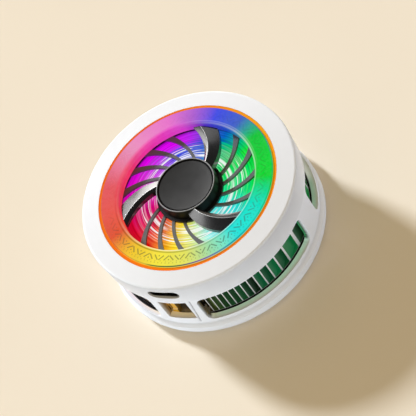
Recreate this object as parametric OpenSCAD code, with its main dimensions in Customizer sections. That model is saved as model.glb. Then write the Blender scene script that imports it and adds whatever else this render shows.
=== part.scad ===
// Round clip-on cooling fan for a phone: a turbine fan over a finned heat sink
// and a thermoelectric plate, in a white two-part case with a glowing ring.
// Millimetres, +Z up, socket towards -Y, origin on the phone side under the axis.

/* [Case] */
// Outer radius of the lower wall
case_r = 32; // [31:0.1:36]
// Thickness of the lower wall
wall_t = 1.8; // [1.4:0.1:2.4]
// How far the foot flange stands out past the lower wall
flange_out = 0.9; // [0.3:0.1:1.2]
// Height of the flange's upright band above the phone side
flange_h = 4.6; // [3.4:0.1:4.8]
// Height of the slope from the flange back to the wall
flange_slope = 1; // [0.5:0.1:1.5]
// Radius of the rounded lower edge
flange_round = 2.8; // [1.5:0.1:3]
// Gap between the case's underside and the phone
foot_gap = 0.25; // [0.1:0.05:0.4]
// Thickness of the case floor above the face pad
floor_t = 0.8; // [0.6:0.1:1.2]
// Height of the wall above the windows, up to the seam
rail_h = 0.5; // [0.4:0.1:1.5]
// How far the seam lies below the tops of the fins
seam_drop = 0.7; // [0.4:0.1:1.5]
// Thickness of the spigot that centres the cover
spigot_t = 0.8; // [0.6:0.05:1]
// Height of the spigot above the seam
spigot_h = 1.9; // [1:0.1:2]
// Free space round parts that are laid or slid together
fit_gap = 0.08; // [0.04:0.01:0.15]

/* [Windows] */
// Half angle of the pillars at the left and right
side_pillar = 7.2; // [5:0.1:9]
// Half angle of the wide pillars at the socket and opposite it
bay_pillar = 13; // [12:0.1:16]
// Corner radius of the air windows
window_round = 1.8; // [0.8:0.1:3]
// How far the window sills lie below the root of the fins
sill_drop = 0.1; // [0:0.05:0.3]
// Half angle of the small window under the socket
bay_window = 7.8; // [6:0.1:8.5]
// How far the small window is inset from the sill line
bay_inset_low = 1.8; // [0.8:0.1:2.5]
// How far the small window is inset from the window heads
bay_inset_high = 0.4; // [0.2:0.1:1]
// Angle between the socket's axis and the panel line's upper end
panel_angle = 10.4; // [9.8:0.1:11]
// Lean of the panel line in degrees
panel_lean = 5.5; // [0:0.5:6]
// Width and depth of the panel line
panel_line = 0.25; // [0.2:0.05:0.4]

/* [Cover] */
// How far the cover stands out past the lower wall at the seam
seam_step = 0.15; // [0.05:0.05:0.3]
// Thickness of the cover's wall at the seam
cover_t = 1.75; // [1.6:0.05:2.2]
// Outward draft of the cover's wall in degrees
cover_draft = 2.2; // [0.5:0.1:3]
// Fall of the bezel towards its edge in degrees
bezel_fall = 6; // [2:0.5:9]
// Radius of the bezel's outer edge
edge_round = 0.8; // [0.4:0.1:1]
// Thickness of the bezel at its inner edge
bezel_t = 2; // [1.8:0.1:2.2]
// Width of the coloured trim ring
trim_w = 0.85; // [0.5:0.05:1.1]
// Depth of the groove that holds the trim ring
trim_t = 1.3; // [0.8:0.1:1.4]
// Wall of the lamp tray outside the trim ring
tray_wall = 0.5; // [0.4:0.1:0.9]

/* [Light ring] */
// Radius of the fan mouth inside the light ring
mouth_r = 20.6; // [19.5:0.1:21.2]
// Width of the light ring
ring_w = 5.3; // [4.8:0.1:5.8]
// Thickness of the light ring's face
ring_t = 0.8; // [0.6:0.1:1.2]
// How far the light ring stands above the bezel
ring_rise = 0.5; // [0.2:0.1:0.8]
// Thickness of the light ring's skirts
skirt_t = 0.8; // [0.6:0.1:1]
// Bevel on the inner edge of the light ring
ring_bevel = 0.3; // [0.1:0.05:0.4]
// Thickness of the shelf that carries the lamps
shelf_t = 0.8; // [0.6:0.1:1.2]
// Thickness of the lamp board
lamp_board_t = 0.5; // [0.4:0.1:0.8]
// Height of a lamp
lamp_t = 0.5; // [0.4:0.1:0.7]
// Length of a lamp along the ring
lamp_l = 2; // [1.5:0.1:2.5]
// Width of a lamp across the ring
lamp_w = 1.6; // [1:0.1:2]
// Space between a lamp and the light ring
lamp_gap = 0.2; // [0.1:0.05:0.4]
// Number of lamps
lamp_count = 12; // [8:1:18]

/* [Fan] */
// Gap between the blade tips and the light ring
tip_gap = 0.45; // [0.4:0.05:1]
// Running gap above and below the turning vanes
vane_gap = 0.45; // [0.35:0.05:0.6]
// Height of the thin vanes
vane_t = 0.75; // [0.5:0.05:0.9]
// Width of a vane at the hub
vane_w_root = 0.85; // [0.6:0.05:1.2]
// Width of a vane at its tip
vane_w_tip = 2.1; // [1.2:0.05:2.4]
// How late a vane widens towards its tip
vane_flare = 3; // [1:0.5:4]
// How far the vane tips reach under the light ring
vane_reach = 1.1; // [0.5:0.1:1.2]
// Turn of a vane in degrees per millimetre of radius
vane_sweep = 2.48; // [1.5:0.02:3]
// Vanes between two blades
vane_set = 4; // [2:1:4]
// Angle between neighbouring vanes
vane_pitch = 20; // [18:0.5:21]
// Number of wide blades
blade_count = 3; // [3:1:3]
// Width of a blade in degrees
blade_w = 22; // [14:0.5:23]
// Turn of a blade in degrees per millimetre of radius
blade_sweep = 2.7; // [1.5:0.05:3]
// Height of a blade at the hub
blade_h_root = 2.95; // [2:0.05:3.1]
// Height of a blade at its tip
blade_h_tip = 1.7; // [1.2:0.1:2.2]
// Rise of the blade's lower edge from hub to tip
blade_lift = 0.35; // [0:0.05:0.6]
// Where a blade is highest, as a share of its width from the trailing edge
blade_peak = 0.78; // [0.6:0.01:0.9]
// Height of a blade's trailing edge, as a share of its height
blade_foot = 0.66; // [0.4:0.01:0.9]
// Fall from the highest line to the leading edge, as a share of the height
blade_shoulder = 0.18; // [0.05:0.01:0.4]
// How sharply the highest line turns down to the leading edge
blade_crest = 1.3; // [1:0.1:2]
// Height of the hollow under the leading edge, as a share of the height
blade_hollow = 0.2; // [0:0.02:0.4]
// Space between the vanes and the blades above them
blade_gap = 0.3; // [0.2:0.05:0.5]

/* [Hub] */
// Radius of the hub at its top
hub_r = 8.85; // [8.7:0.05:9]
// Radius of the hub at its foot
hub_foot_r = 9.1; // [9.05:0.05:9.4]
// Height of the straight foot of the hub
hub_foot_h = 0.85; // [0.8:0.05:1]
// Width of the vane wheel's ring round the hub
vane_ring_w = 0.85; // [0.6:0.05:1.2]
// How far the hub stands above the light ring
hub_rise = 0.3; // [0.2:0.1:0.8]
// Width of the hub's raised rim
rim_w = 0.35; // [0.3:0.05:0.5]
// Bevel on the hub's rim
rim_bevel = 0.15; // [0.05:0.05:0.25]
// Width of the groove between rim and cap disc
rim_groove = 0.55; // [0.3:0.05:0.8]
// Depth of the recess for the cap disc
cap_recess = 0.55; // [0.4:0.05:0.7]
// How far the cap disc lies below the rim
cap_drop = 0.3; // [0:0.05:0.35]
// Thickness of the hub's roof
hub_roof = 0.85; // [0.7:0.05:1]

/* [Motor] */
// Outer radius of the steel rotor cup
yoke_r = 8.2; // [7.8:0.05:8.3]
// Thickness of the steel rotor cup
yoke_t = 0.45; // [0.35:0.05:0.6]
// Thickness of the ring magnet
rotor_magnet_t = 0.9; // [0.7:0.05:1]
// Air gap between ring magnet and stator
air_gap = 0.3; // [0.25:0.05:0.4]
// Height of the ring magnet
rotor_magnet_h = 2.1; // [1.6:0.1:2.3]
// Radius of the shaft
shaft_r = 0.75; // [0.6:0.05:0.9]
// Running clearance of the shaft in its bush
shaft_gap = 0.04; // [0.02:0.01:0.08]
// Radius of the bush
bush_r = 1.6; // [1.4:0.05:1.8]
// How far the bush ends below the mouth of its tube
bush_drop = 0.2; // [0.1:0.05:0.4]
// Radius of the bearing tube
tube_r = 2.3; // [2.2:0.05:2.5]
// Length of the bearing tube below the fan plate
tube_drop = 1.9; // [1.6:0.1:2.2]
// Length of the bearing tube above the fan plate
tube_rise = 2.5; // [2.3:0.1:2.6]
// Radius of the tube's collar under the fan plate
collar_r = 3.6; // [3:0.1:5]
// Thickness of the tube's collar
collar_t = 0.7; // [0.5:0.1:1]
// Thickness of the thrust pad under the shaft
thrust_t = 0.4; // [0.3:0.1:0.6]
// End play of the shaft
end_play = 0.05; // [0.02:0.01:0.1]
// Thickness of the motor board
motor_board_t = 0.4; // [0.3:0.05:0.5]
// Thickness of the stator laminations
core_t = 1.5; // [1.2:0.1:1.6]
// Thickness of the winding on a stator pole
winding_t = 0.35; // [0.25:0.05:0.4]
// Space between the motor board and the windings
winding_gap = 0.1; // [0.05:0.05:0.2]
// Number of stator poles
pole_count = 4; // [4:2:6]
// Width of a pole's neck
neck_w = 1.5; // [1.2:0.1:1.8]
// Thickness of a pole's head
pole_lip = 0.75; // [0.5:0.05:0.9]
// Half angle of a pole's head
pole_head = 27; // [20:1:28]

/* [Fan plate] */
// How far the fan plate reaches past the fan mouth
plate_reach = 1.4; // [1.2:0.1:1.8]
// Thickness of the fan plate
plate_t = 0.8; // [0.6:0.1:1.2]
// Height of the air space between fins and fan plate
plenum_h = 3.1; // [2.9:0.1:4]
// Half width of the fan plate's lugs
lug_half = 2.2; // [2:0.1:2.6]
// Width of a turned ring on the fan plate
turned_w = 0.36; // [0.2:0.02:0.5]
// Depth of the turned rings on the fan plate
turned_d = 0.06; // [0.03:0.01:0.1]
// Number of turned rings on the fan plate
turned_count = 6; // [3:1:9]

/* [Heat sink] */
// Space between the heat sink and the lower wall
sink_gap = 0.6; // [0.4:0.1:1]
// Thickness of the heat sink's base
sink_t = 2; // [1.5:0.1:3]
// Height of the fins
fin_h = 12.2; // [10:0.1:14]
// Thickness of a fin
fin_t = 0.22; // [0.2:0.02:0.6]
// Spacing of the fins
fin_pitch = 1.6; // [1.4:0.05:2.4]
// Half width of the space kept free behind the small window
bay_half = 6.6; // [6:0.1:7]
// Depth of that space, from the heat sink's edge
bay_depth = 6; // [5.8:0.1:6.4]

/* [Cooling plate] */
// Least width of the foam at the corners of the thermoelectric cell
foam_wall = 1.8; // [1.2:0.1:3]
// Thickness of a thermoelectric plate
cell_plate_t = 0.7; // [0.5:0.05:1]
// Height of the thermoelectric legs
leg_h = 1.4; // [1:0.1:1.8]
// Side of a thermoelectric leg
leg_w = 1.3; // [0.9:0.1:1.6]
// Legs along one side of the cell
leg_count = 9; // [6:1:10]
// Free margin of the thermoelectric plates round the legs
cell_margin = 1.2; // [0.8:0.1:2]
// How far the cooling plate's rim stands out past its face
cold_step = 2.4; // [2:0.1:3]
// Thickness of the cooling plate's face
cold_face_t = 1.2; // [1:0.05:1.4]
// Distance of the cooling plate's rim from the inside of the wall
rim_inset = 8.6; // [8.4:0.1:9]
// Thickness of the cooling plate's rim
cold_rim_t = 1.2; // [0.8:0.1:1.6]
// Radius of a lead's insulation
lead_r = 0.4; // [0.3:0.05:0.45]
// Distance between the two leads
lead_gap = 1.6; // [1.2:0.1:2]
// Distance of the leads from the middle of the case
lead_x = 3.6; // [3:0.1:4]
// Distance of the leads from the edge of the heat sink
lead_inset = 4.2; // [3.6:0.1:4.4]

/* [Magnets] */
// Wall between the cooling plate and the magnets
magnet_wall = 1; // [0.7:0.1:1.2]
// Free space round a magnet
magnet_gap = 0.2; // [0.1:0.05:0.3]
// Width of the magnet ring
magnet_w = 4.2; // [3.5:0.1:4.4]
// Thickness of a magnet
magnet_t = 2; // [1.5:0.1:2.1]
// Thickness of the steel ring behind the magnets
shield_t = 0.4; // [0.3:0.1:0.5]
// Wall outside the magnets, which carries the heat sink
rest_wall = 1.2; // [0.8:0.1:1.4]
// Angle kept free of magnets on each side of a screw post
magnet_clear = 8.5; // [8:0.5:10]
// Angle that one magnet takes up, more or less
magnet_arc = 18; // [12:1:24]
// Angle between neighbouring magnets
magnet_split = 1; // [0.5:0.25:2]

/* [Face pad] */
// Thickness of the soft face pad
pad_t = 0.9; // [0.7:0.05:1.1]
// Distance of the face pad from the cooling plate's face
pad_margin = 2.6; // [1.6:0.1:3.2]
// Distance of the face pad's edge from the inside of the wall
pad_inset = 1.9; // [1.2:0.1:2]

/* [Screws] */
// Distance of the screw posts from the inside of the wall
post_inset = 4; // [3.8:0.1:4.1]
// Radius of a post below its shoulder
post_r = 2.2; // [2.1:0.05:2.3]
// Radius of a post above its shoulder
post_top_r = 1.7; // [1.5:0.05:1.8]
// Radius of a screw's thread
screw_r = 0.9; // [0.7:0.05:0.95]
// Radius of a screw's head
head_r = 1.7; // [1.5:0.05:1.8]
// Height of a screw's head
head_h = 1.2; // [0.9:0.1:1.4]
// Depth of the thread in the cover's bosses
thread_h = 1.9; // [1.4:0.1:2]
// Angle of the two posts beside the socket from its axis
bay_post = 18; // [17:0.5:20]

/* [Socket] */
// Width of the socket's shell
socket_w = 8.94; // [8.8:0.02:9.1]
// Height of the socket's shell
socket_h = 3.26; // [3.1:0.02:3.3]
// Length of the socket's shell
socket_l = 6.4; // [6:0.1:6.6]
// Wall of the socket's shell
socket_t = 0.3; // [0.2:0.05:0.35]
// Free space round the socket in the cover
socket_gap = 0.24; // [0.1:0.02:0.3]
// How far the socket's mouth lies inside the cover
socket_recess = 0.55; // [0.3:0.05:0.8]
// Width of the socket's tongue
tongue_w = 6.7; // [6.5:0.05:6.9]
// Thickness of the socket's tongue
tongue_t = 0.7; // [0.6:0.05:0.8]
// Length of the socket's tongue
tongue_l = 4.4; // [4:0.1:4.6]
// Thickness of the socket's rear block
block_l = 1; // [0.8:0.1:1.2]
// Contacts on each side of the tongue
contact_count = 12; // [8:1:12]
// Spacing of the contacts
contact_pitch = 0.5; // [0.45:0.01:0.55]
// Width of a contact
contact_w = 0.25; // [0.2:0.01:0.3]
// Thickness of a contact
contact_t = 0.06; // [0.04:0.01:0.1]
// Length of a contact
contact_l = 3.2; // [2.5:0.1:3.6]

/* [Control board] */
// Thickness of the control board
board_t = 1; // [0.8:0.1:1.2]
// Height of the control board above the fins
board_gap = 0.97; // [0.6:0.01:1.2]
// Half angle of the control board
board_half = 35; // [33:0.5:38]
// Width of the control board
board_w = 6.6; // [6.2:0.1:6.8]
// Free space between the control board and the wall
board_edge = 0.3; // [0.2:0.05:0.5]
// Width of the post that carries the board behind the small window
rest_post_w = 1.7; // [1.2:0.1:2]
// Place of that post from the socket's axis
rest_post_x = 3.3; // [2.8:0.1:3.5]
// Side of the control chip
chip_w = 4; // [3:0.1:4.2]
// Height of the control chip
chip_h = 0.9; // [0.6:0.1:1.2]
// Side of the choke
choke_w = 4; // [3:0.1:4.2]
// Space between the choke and the fan plate above it
choke_gap = 0.25; // [0.15:0.05:0.4]
// Angle of chip and choke from the socket's axis
chip_angle = 28; // [27.5:0.1:29]

/* [Hidden] */

$fn = 96;
// Overshoot of a cutter past the face that it leaves
cut = 1;
// Small overlap that keeps rounded cutters from only touching flat ones
bite = 0.04;
// Directions of the socket and of the plain pillars
socket_az = -90;
post_az = [0, 90, 180, socket_az - bay_post, socket_az + bay_post];
// Centre of each set of vanes, and the first blade's leading edge, at the mouth
vane_az = 31;
blade_az = 100;
// Steps along and across a blade, and along a vane
blade_steps = 8;
chord_steps = 10;
vane_steps = 12;

// Heights, from the phone side upwards
floor_z = pad_t + floor_t;
cold_z = cold_face_t + cold_rim_t;
sink_z = cold_z + 2 * cell_plate_t + leg_h;
fin_z = sink_z + sink_t;
fin_top_z = fin_z + fin_h;
seam_z = fin_top_z - seam_drop;
board_z = fin_top_z + board_gap;
board_top_z = board_z + board_t;
socket_z = board_top_z + socket_h / 2;
plate_z = fin_top_z + plenum_h;
plate_top_z = plate_z + plate_t;
rotor_z = plate_top_z + vane_gap;
vane_top_z = rotor_z + vane_t;
shelf_z = vane_top_z + vane_gap;
shelf_top_z = shelf_z + shelf_t;
lamp_z = shelf_top_z + lamp_board_t;
ring_z = lamp_z + lamp_t + lamp_gap;
ring_top_z = ring_z + ring_t;
bezel_z = ring_top_z - ring_rise;
hub_z = ring_top_z + hub_rise;
cap_z = hub_z - cap_recess;
yoke_z = cap_z - hub_roof;
motor_z = plate_top_z + motor_board_t;
winding_z = motor_z + winding_gap;
core_z = winding_z + winding_t;
tube_z = plate_z - tube_drop;
tube_top_z = plate_top_z + tube_rise;
shaft_z = tube_z + thrust_t + end_play;
sill_z = fin_z - sill_drop;
head_z = seam_z - rail_h;

// Radii, from the wall inwards
case_in = case_r - wall_t;
flange_r = case_r + flange_out;
spigot_r = case_in + spigot_t;
cover_r = case_r + seam_step;
cover_in = cover_r - cover_t;
post_ring = case_in - post_inset;
sink_r = case_in - sink_gap;
// Radii, from the fan mouth outwards
ring_r = mouth_r + ring_w;
trim_r = ring_r + fit_gap;
bezel_r = trim_r + trim_w + fit_gap;
tray_r = bezel_r + tray_wall;
shelf_r = mouth_r + skirt_t + fit_gap;
plate_r = mouth_r + plate_reach;
tip_r = mouth_r - tip_gap;
vane_r = mouth_r + vane_reach;
vane_ring_r = hub_foot_r + vane_ring_w;
// Radii of the motor
magnet_in = yoke_r - yoke_t - rotor_magnet_t;
core_r = magnet_in - air_gap;
// Radii of the cooling plate and the face pad, and the cell's side
cold_rim_r = case_in - rim_inset;
cold_r = cold_rim_r - cold_step;
pad_in = cold_r + pad_margin;
pad_out = case_in - pad_inset;
cell_w = (cold_rim_r - foam_wall) * sqrt(2);
lead_y = sink_r - lead_inset;
// Radii of the magnet ring in the floor
pocket_in = cold_rim_r + fit_gap;
magnet_r = pocket_in + magnet_wall + magnet_gap;
rest_r = magnet_r + magnet_w + magnet_gap;

// Where the rounded edge of the cover touches its wall, and the edge's centre
edge_lean = cover_r - tan(cover_draft) * seam_z - edge_round * cos(cover_draft) - bezel_r;
edge_touch_z = (bezel_z * cos(bezel_fall) - edge_round - edge_lean * sin(bezel_fall)
    - edge_round * sin(cover_draft) * cos(bezel_fall))
    / (cos(bezel_fall) + tan(cover_draft) * sin(bezel_fall));
edge_touch_r = cover_r + tan(cover_draft) * (edge_touch_z - seam_z);
edge_at = [edge_touch_r - edge_round * cos(cover_draft),
    edge_touch_z + edge_round * sin(cover_draft)];
bezel_touch = edge_at + edge_round * [sin(bezel_fall), cos(bezel_fall)];
bezel_under_z = bezel_z - bezel_t;

function polar(r, a) = [r * cos(a), r * sin(a)];
function blend(a, b, t) = a + (b - a) * t;

// Ring with a square section
module ring(r_in, r_out, z_low, z_high) {
    translate([0, 0, z_low]) difference() {
        cylinder(r = r_out, h = z_high - z_low);
        translate([0, 0, -cut]) cylinder(r = r_in, h = z_high - z_low + 2 * cut);
    }
}

// Part of a ring between two directions
module sector(r_in, r_out, z_low, z_high, a_from, a_to) {
    rotate([0, 0, a_from]) rotate_extrude(angle = a_to - a_from)
        translate([r_in, z_low]) square([r_out - r_in, z_high - z_low]);
}

// Upright cylinder at each screw post
module at_posts(r, z_low, z_high) {
    for (a = post_az) {
        translate(concat(polar(post_ring, a), z_low)) cylinder(r = r, h = z_high - z_low);
    }
}

// Outline with round ends, as wide and high as given
module stadium(w, h) {
    square([w - h, h], center = true);
    for (side = [-1, 1]) {
        translate([side * (w - h) / 2, 0]) circle(d = h);
    }
}

// Opening through the lower wall with rounded corners
module window(a_from, a_to) {
    r_in = case_in - cut;
    r_out = flange_r + cut;
    turn = asin(window_round / case_in);
    inset = window_round + bite;
    sector(r_in, r_out, sill_z, head_z, a_from + turn, a_to - turn);
    sector(r_in, r_out, sill_z + window_round, head_z - window_round, a_from, a_to);
    for (a = [a_from + turn + bite, a_to - turn - bite], z = [sill_z + inset, head_z - inset]) {
        rotate([0, 0, a]) translate([case_in - cut / 2, 0, z]) rotate([0, 90, 0])
            cylinder(r = window_round, h = flange_r - case_in + cut);
    }
}

// Outer section of the lower case, with its rounded lower edge
module base_section() {
    round_at = [flange_r - flange_round, foot_gap + flange_round];
    polygon([
        [0, foot_gap],
        [round_at.x, foot_gap],
        [flange_r, round_at.y],
        [flange_r, flange_h],
        [case_r, flange_h + flange_slope],
        [case_r, seam_z],
        [spigot_r, seam_z],
        [spigot_r, seam_z + spigot_h],
        [0, seam_z + spigot_h]
    ]);
    translate(round_at) circle(r = flange_round);
}

// Lower case without openings: wall, floor, magnet pocket and heat sink rest
module base_dish() {
    difference() {
        rotate_extrude() base_section();
        translate([0, 0, floor_z]) cylinder(r = case_in, h = seam_z + spigot_h);
        translate([0, 0, cold_face_t]) cylinder(r = pocket_in, h = floor_z);
        cylinder(r = cold_r + fit_gap, h = floor_z);
        ring(pad_in - fit_gap, pad_out + fit_gap, 0, pad_t);
    }
    ring(pocket_in, pocket_in + magnet_wall, pad_t + floor_t / 2, floor_z + magnet_t + shield_t / 2);
    ring(rest_r, rest_r + rest_wall, pad_t + floor_t / 2, sink_z);
}

// White lower case with air windows, screw posts and the magnet pocket
module base_shell() {
    color("whitesmoke") difference() {
        union() {
            base_dish();
            at_posts(post_r, floor_z - floor_t / 2, board_z);
            at_posts(post_top_r, board_z - floor_t, plate_z);
            rest_post();
        }
        for (side = [0, 180]) {
            window(side + side_pillar, side + 90 - bay_pillar);
            window(side + 90 + bay_pillar, side + 180 - side_pillar);
        }
        sector(case_in - cut, flange_r + cut, sill_z + bay_inset_low, head_z - bay_inset_high,
            socket_az - bay_window, socket_az + bay_window);
        rotate([0, 0, socket_az + panel_angle]) translate([case_r - panel_line, 0, seam_z])
            rotate([-panel_lean, 0, 0]) translate([0, -panel_line / 2, sill_z - seam_z])
                cube([flange_out + cut, panel_line, seam_z - sill_z + cut]);
        at_posts(screw_r + fit_gap, 0, plate_z + cut);
        at_posts(head_r + fit_gap, 0, pad_t + head_h + fit_gap);
    }
}

// Slim post behind the small window, which carries the control board
module rest_post() {
    reach = sqrt(pow(case_in, 2) - pow(rest_post_x, 2)) - sink_gap;
    translate([-rest_post_x - rest_post_w / 2, -reach, floor_z - floor_t / 2])
        cube([rest_post_w, rest_post_w, board_z - floor_z + floor_t / 2]);
}

// Section of the cover: wall, bezel and the tray for the lamps
module cover_section() {
    polygon([
        [spigot_r + fit_gap, seam_z],
        [cover_r, seam_z],
        [edge_touch_r, edge_touch_z],
        bezel_touch,
        [bezel_r, bezel_z],
        [bezel_r, bezel_z - trim_t],
        [trim_r, bezel_z - trim_t],
        [trim_r, shelf_top_z],
        [shelf_r, shelf_top_z],
        [shelf_r, shelf_z],
        [tray_r, shelf_z],
        [tray_r, bezel_under_z],
        [cover_in, bezel_under_z],
        [cover_in, seam_z + spigot_h + fit_gap],
        [spigot_r + fit_gap, seam_z + spigot_h + fit_gap]
    ]);
    translate(edge_at) circle(r = edge_round);
}

// White cover with the bezel, the socket's slot and the screw bosses
module top_cover() {
    boss_top_z = min(shelf_top_z, bezel_under_z) + floor_t / 2;
    color("white") difference() {
        union() {
            rotate_extrude() cover_section();
            at_posts(post_r, plate_top_z, min(boss_top_z, shelf_top_z - fit_gap));
        }
        translate([0, -cover_in + cut, socket_z]) rotate([90, 0, 0])
            linear_extrude(cover_t + 2 * cut)
                stadium(socket_w + 2 * socket_gap, socket_h + 2 * socket_gap);
        at_posts(screw_r, plate_top_z - cut, plate_top_z + thread_h);
    }
}

// Thin coloured ring between bezel and light ring
module trim_ring() {
    color("darkorange") ring(trim_r, bezel_r - fit_gap, bezel_z - trim_t, bezel_z);
}

// Clear ring that spreads the lamps' light, with a skirt down into the fan mouth
module light_ring() {
    color("turquoise") rotate_extrude() polygon([
        [mouth_r, shelf_z],
        [mouth_r + skirt_t, shelf_z],
        [mouth_r + skirt_t, ring_z],
        [ring_r - skirt_t, ring_z],
        [ring_r - skirt_t, shelf_top_z],
        [ring_r, shelf_top_z],
        [ring_r, ring_top_z - ring_bevel / 2],
        [ring_r - ring_bevel / 2, ring_top_z],
        [mouth_r + ring_bevel, ring_top_z],
        [mouth_r, ring_top_z - ring_bevel]
    ]);
}

// Board that carries the lamps
module lamp_board() {
    color("darkgreen")
        ring(shelf_r + fit_gap, ring_r - skirt_t - fit_gap, shelf_top_z, lamp_z);
}

// Lamps along the middle of their board
module lamps() {
    color("lightyellow") for (i = [0 : lamp_count - 1]) {
        rotate([0, 0, i * 360 / lamp_count])
            translate([(mouth_r + ring_r - lamp_w) / 2, -lamp_l / 2, lamp_z])
                cube([lamp_w, lamp_l, lamp_t]);
    }
}

// Height of a blade's upper and lower side across its width, as shares of the height
function blade_top(u) = u < blade_peak
    ? 1 - (1 - blade_foot) * pow(1 - u / blade_peak, 2)
    : 1 - blade_shoulder * pow((u - blade_peak) / (1 - blade_peak), blade_crest);
function blade_under(u) = blade_hollow * sin(90 * u);

// Point on a blade: t runs from hub to tip, u from the trailing to the leading edge
function blade_point(t, u, share) =
    let (r = blend((yoke_r + hub_r) / 2, tip_r, t))
    let (a = blade_az - blade_w * (1 - u) - blade_sweep * (tip_r - r))
    let (low = vane_top_z + blade_gap + blade_lift * t)
    concat(polar(r, a), low + share * blend(blade_h_root, blade_h_tip, t));

// Wide curved blade, lofted from the hub to the tip
module blade() {
    rim = 2 * (chord_steps + 1);
    points = [for (i = [0 : blade_steps], j = [0 : rim - 1])
        let (t = i / blade_steps)
        let (u = (j <= chord_steps ? j : rim - 1 - j) / chord_steps)
        blade_point(t, u, j <= chord_steps ? blade_top(u) : blade_under(u))];
    sides = [for (i = [0 : blade_steps - 1], j = [0 : rim - 1], half = [0, 1])
        let (a = i * rim + j)
        let (b = i * rim + (j + 1) % rim)
        half == 0 ? [a, b, a + rim] : [b, b + rim, a + rim]];
    root = [for (j = [0 : chord_steps - 1], half = [0, 1])
        half == 0 ? [j, rim - 1 - j, j + 1] : [j + 1, rim - 1 - j, rim - 2 - j]];
    last = blade_steps * rim;
    tip = [for (f = root) [f[0] + last, f[2] + last, f[1] + last]];
    polyhedron(points, concat(sides, root, tip));
}

// Black hub with its wide blades
module impeller() {
    color("black") difference() {
        union() {
            rotate_extrude() polygon([
                [0, yoke_z],
                [yoke_r, yoke_z],
                [yoke_r, rotor_z],
                [hub_foot_r, rotor_z],
                [hub_foot_r, rotor_z + hub_foot_h],
                [hub_r, hub_z - rim_bevel],
                [hub_r - rim_bevel, hub_z],
                [hub_r - rim_w, hub_z],
                [hub_r - rim_w, cap_z],
                [0, cap_z]
            ]);
            for (i = [0 : blade_count - 1]) {
                rotate([0, 0, i * 360 / blade_count]) blade();
            }
        }
        translate([0, 0, yoke_z - cut]) cylinder(r = shaft_r, h = cut + hub_roof / 2);
    }
}

// Outline of one swept vane, from the ring round the hub to its tip
module vane_outline() {
    root_r = hub_foot_r + vane_ring_w / 2;
    slope = vane_sweep * PI / 180;
    edge = [for (side = [-1, 1]) [for (i = [0 : vane_steps])
        let (t = (side < 0 ? i : vane_steps - i) / vane_steps)
        let (r = blend(root_r, vane_r, t))
        let (wide = blend(vane_w_root, vane_w_tip, pow(t, vane_flare)))
        let (half = wide / 2 * sqrt(1 + pow(r * slope, 2)))
        polar(r, vane_sweep * (r - tip_r) + side * half / r * 180 / PI)]];
    polygon(concat(edge[0], edge[1]));
}

// Grey wheel of thin swept vanes on the foot of the hub
module vane_wheel() {
    color("dimgray") union() {
        ring(hub_foot_r, vane_ring_r, rotor_z, vane_top_z);
        for (i = [0 : blade_count - 1], j = [0 : vane_set - 1]) {
            rotate([0, 0, i * 360 / blade_count + vane_az + (j - (vane_set - 1) / 2) * vane_pitch])
                translate([0, 0, rotor_z]) linear_extrude(vane_t) vane_outline();
        }
    }
}

// Dark disc set into the top of the hub
module hub_cap() {
    color("darkslategray") translate([0, 0, cap_z])
        cylinder(r = hub_r - rim_w - rim_groove, h = cap_recess - cap_drop);
}

// Steel cup pressed into the hub
module rotor_yoke() {
    color("gray") difference() {
        translate([0, 0, rotor_z]) cylinder(r = yoke_r, h = yoke_z - rotor_z);
        translate([0, 0, rotor_z - cut])
            cylinder(r = yoke_r - yoke_t, h = yoke_z - rotor_z - yoke_t + cut);
        translate([0, 0, yoke_z - yoke_t - cut]) cylinder(r = shaft_r, h = yoke_t + 2 * cut);
    }
}

// Ring magnet inside the steel cup
module rotor_magnet() {
    magnet_z = yoke_z - yoke_t - rotor_magnet_h;
    color("darkgray") ring(magnet_in, yoke_r - yoke_t, magnet_z, yoke_z - yoke_t);
}

// Steel shaft pressed into the hub
module shaft() {
    color("silver") translate([0, 0, shaft_z])
        cylinder(r = shaft_r, h = yoke_z + hub_roof / 2 - shaft_z);
}

// Bright turned plate under the fan, held by its lugs between posts and bosses
module fan_plate() {
    color("lightblue") difference() {
        union() {
            translate([0, 0, plate_z]) cylinder(r = plate_r, h = plate_t);
            for (a = post_az) {
                rotate([0, 0, a]) {
                    translate([0, -lug_half, plate_z]) cube([post_ring, 2 * lug_half, plate_t]);
                    translate([post_ring, 0, plate_z]) cylinder(r = lug_half, h = plate_t);
                }
            }
        }
        translate([0, 0, plate_z - cut]) cylinder(r = tube_r, h = plate_t + 2 * cut);
        at_posts(screw_r + fit_gap, plate_z - cut, plate_top_z + cut);
        for (i = [1 : turned_count]) {
            turned_r = blend(vane_ring_r, tip_r, i / (turned_count + 1));
            translate([0, 0, plate_top_z]) rotate_extrude() translate([turned_r, 0])
                polygon([[-turned_w / 2, 0], [0, -turned_d], [turned_w / 2, 0], [0, turned_d]]);
        }
    }
}

// Brass tube in the middle of the fan plate
module bearing_tube() {
    color("goldenrod") difference() {
        union() {
            translate([0, 0, tube_z]) cylinder(r = tube_r, h = tube_top_z - tube_z);
            translate([0, 0, plate_z - collar_t]) cylinder(r = collar_r, h = collar_t);
        }
        translate([0, 0, tube_z - cut]) cylinder(r = bush_r, h = tube_top_z - tube_z + 2 * cut);
    }
}

// Sleeve that the shaft turns in
module bearing_bush() {
    color("peru") ring(shaft_r + shaft_gap, bush_r, shaft_z + thrust_t, tube_top_z - bush_drop);
}

// Hard pad that the end of the shaft turns on
module thrust_pad() {
    color("ivory") translate([0, 0, tube_z]) cylinder(r = bush_r, h = thrust_t);
}

// One pole's neck, from inside the core out into its head
module pole_neck(grow) {
    neck_in = tube_r + neck_w / 4;
    translate([neck_in, -neck_w / 2 - grow, core_z - grow])
        cube([core_r - pole_lip / 2 - neck_in, neck_w + 2 * grow, core_t + 2 * grow]);
}

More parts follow.
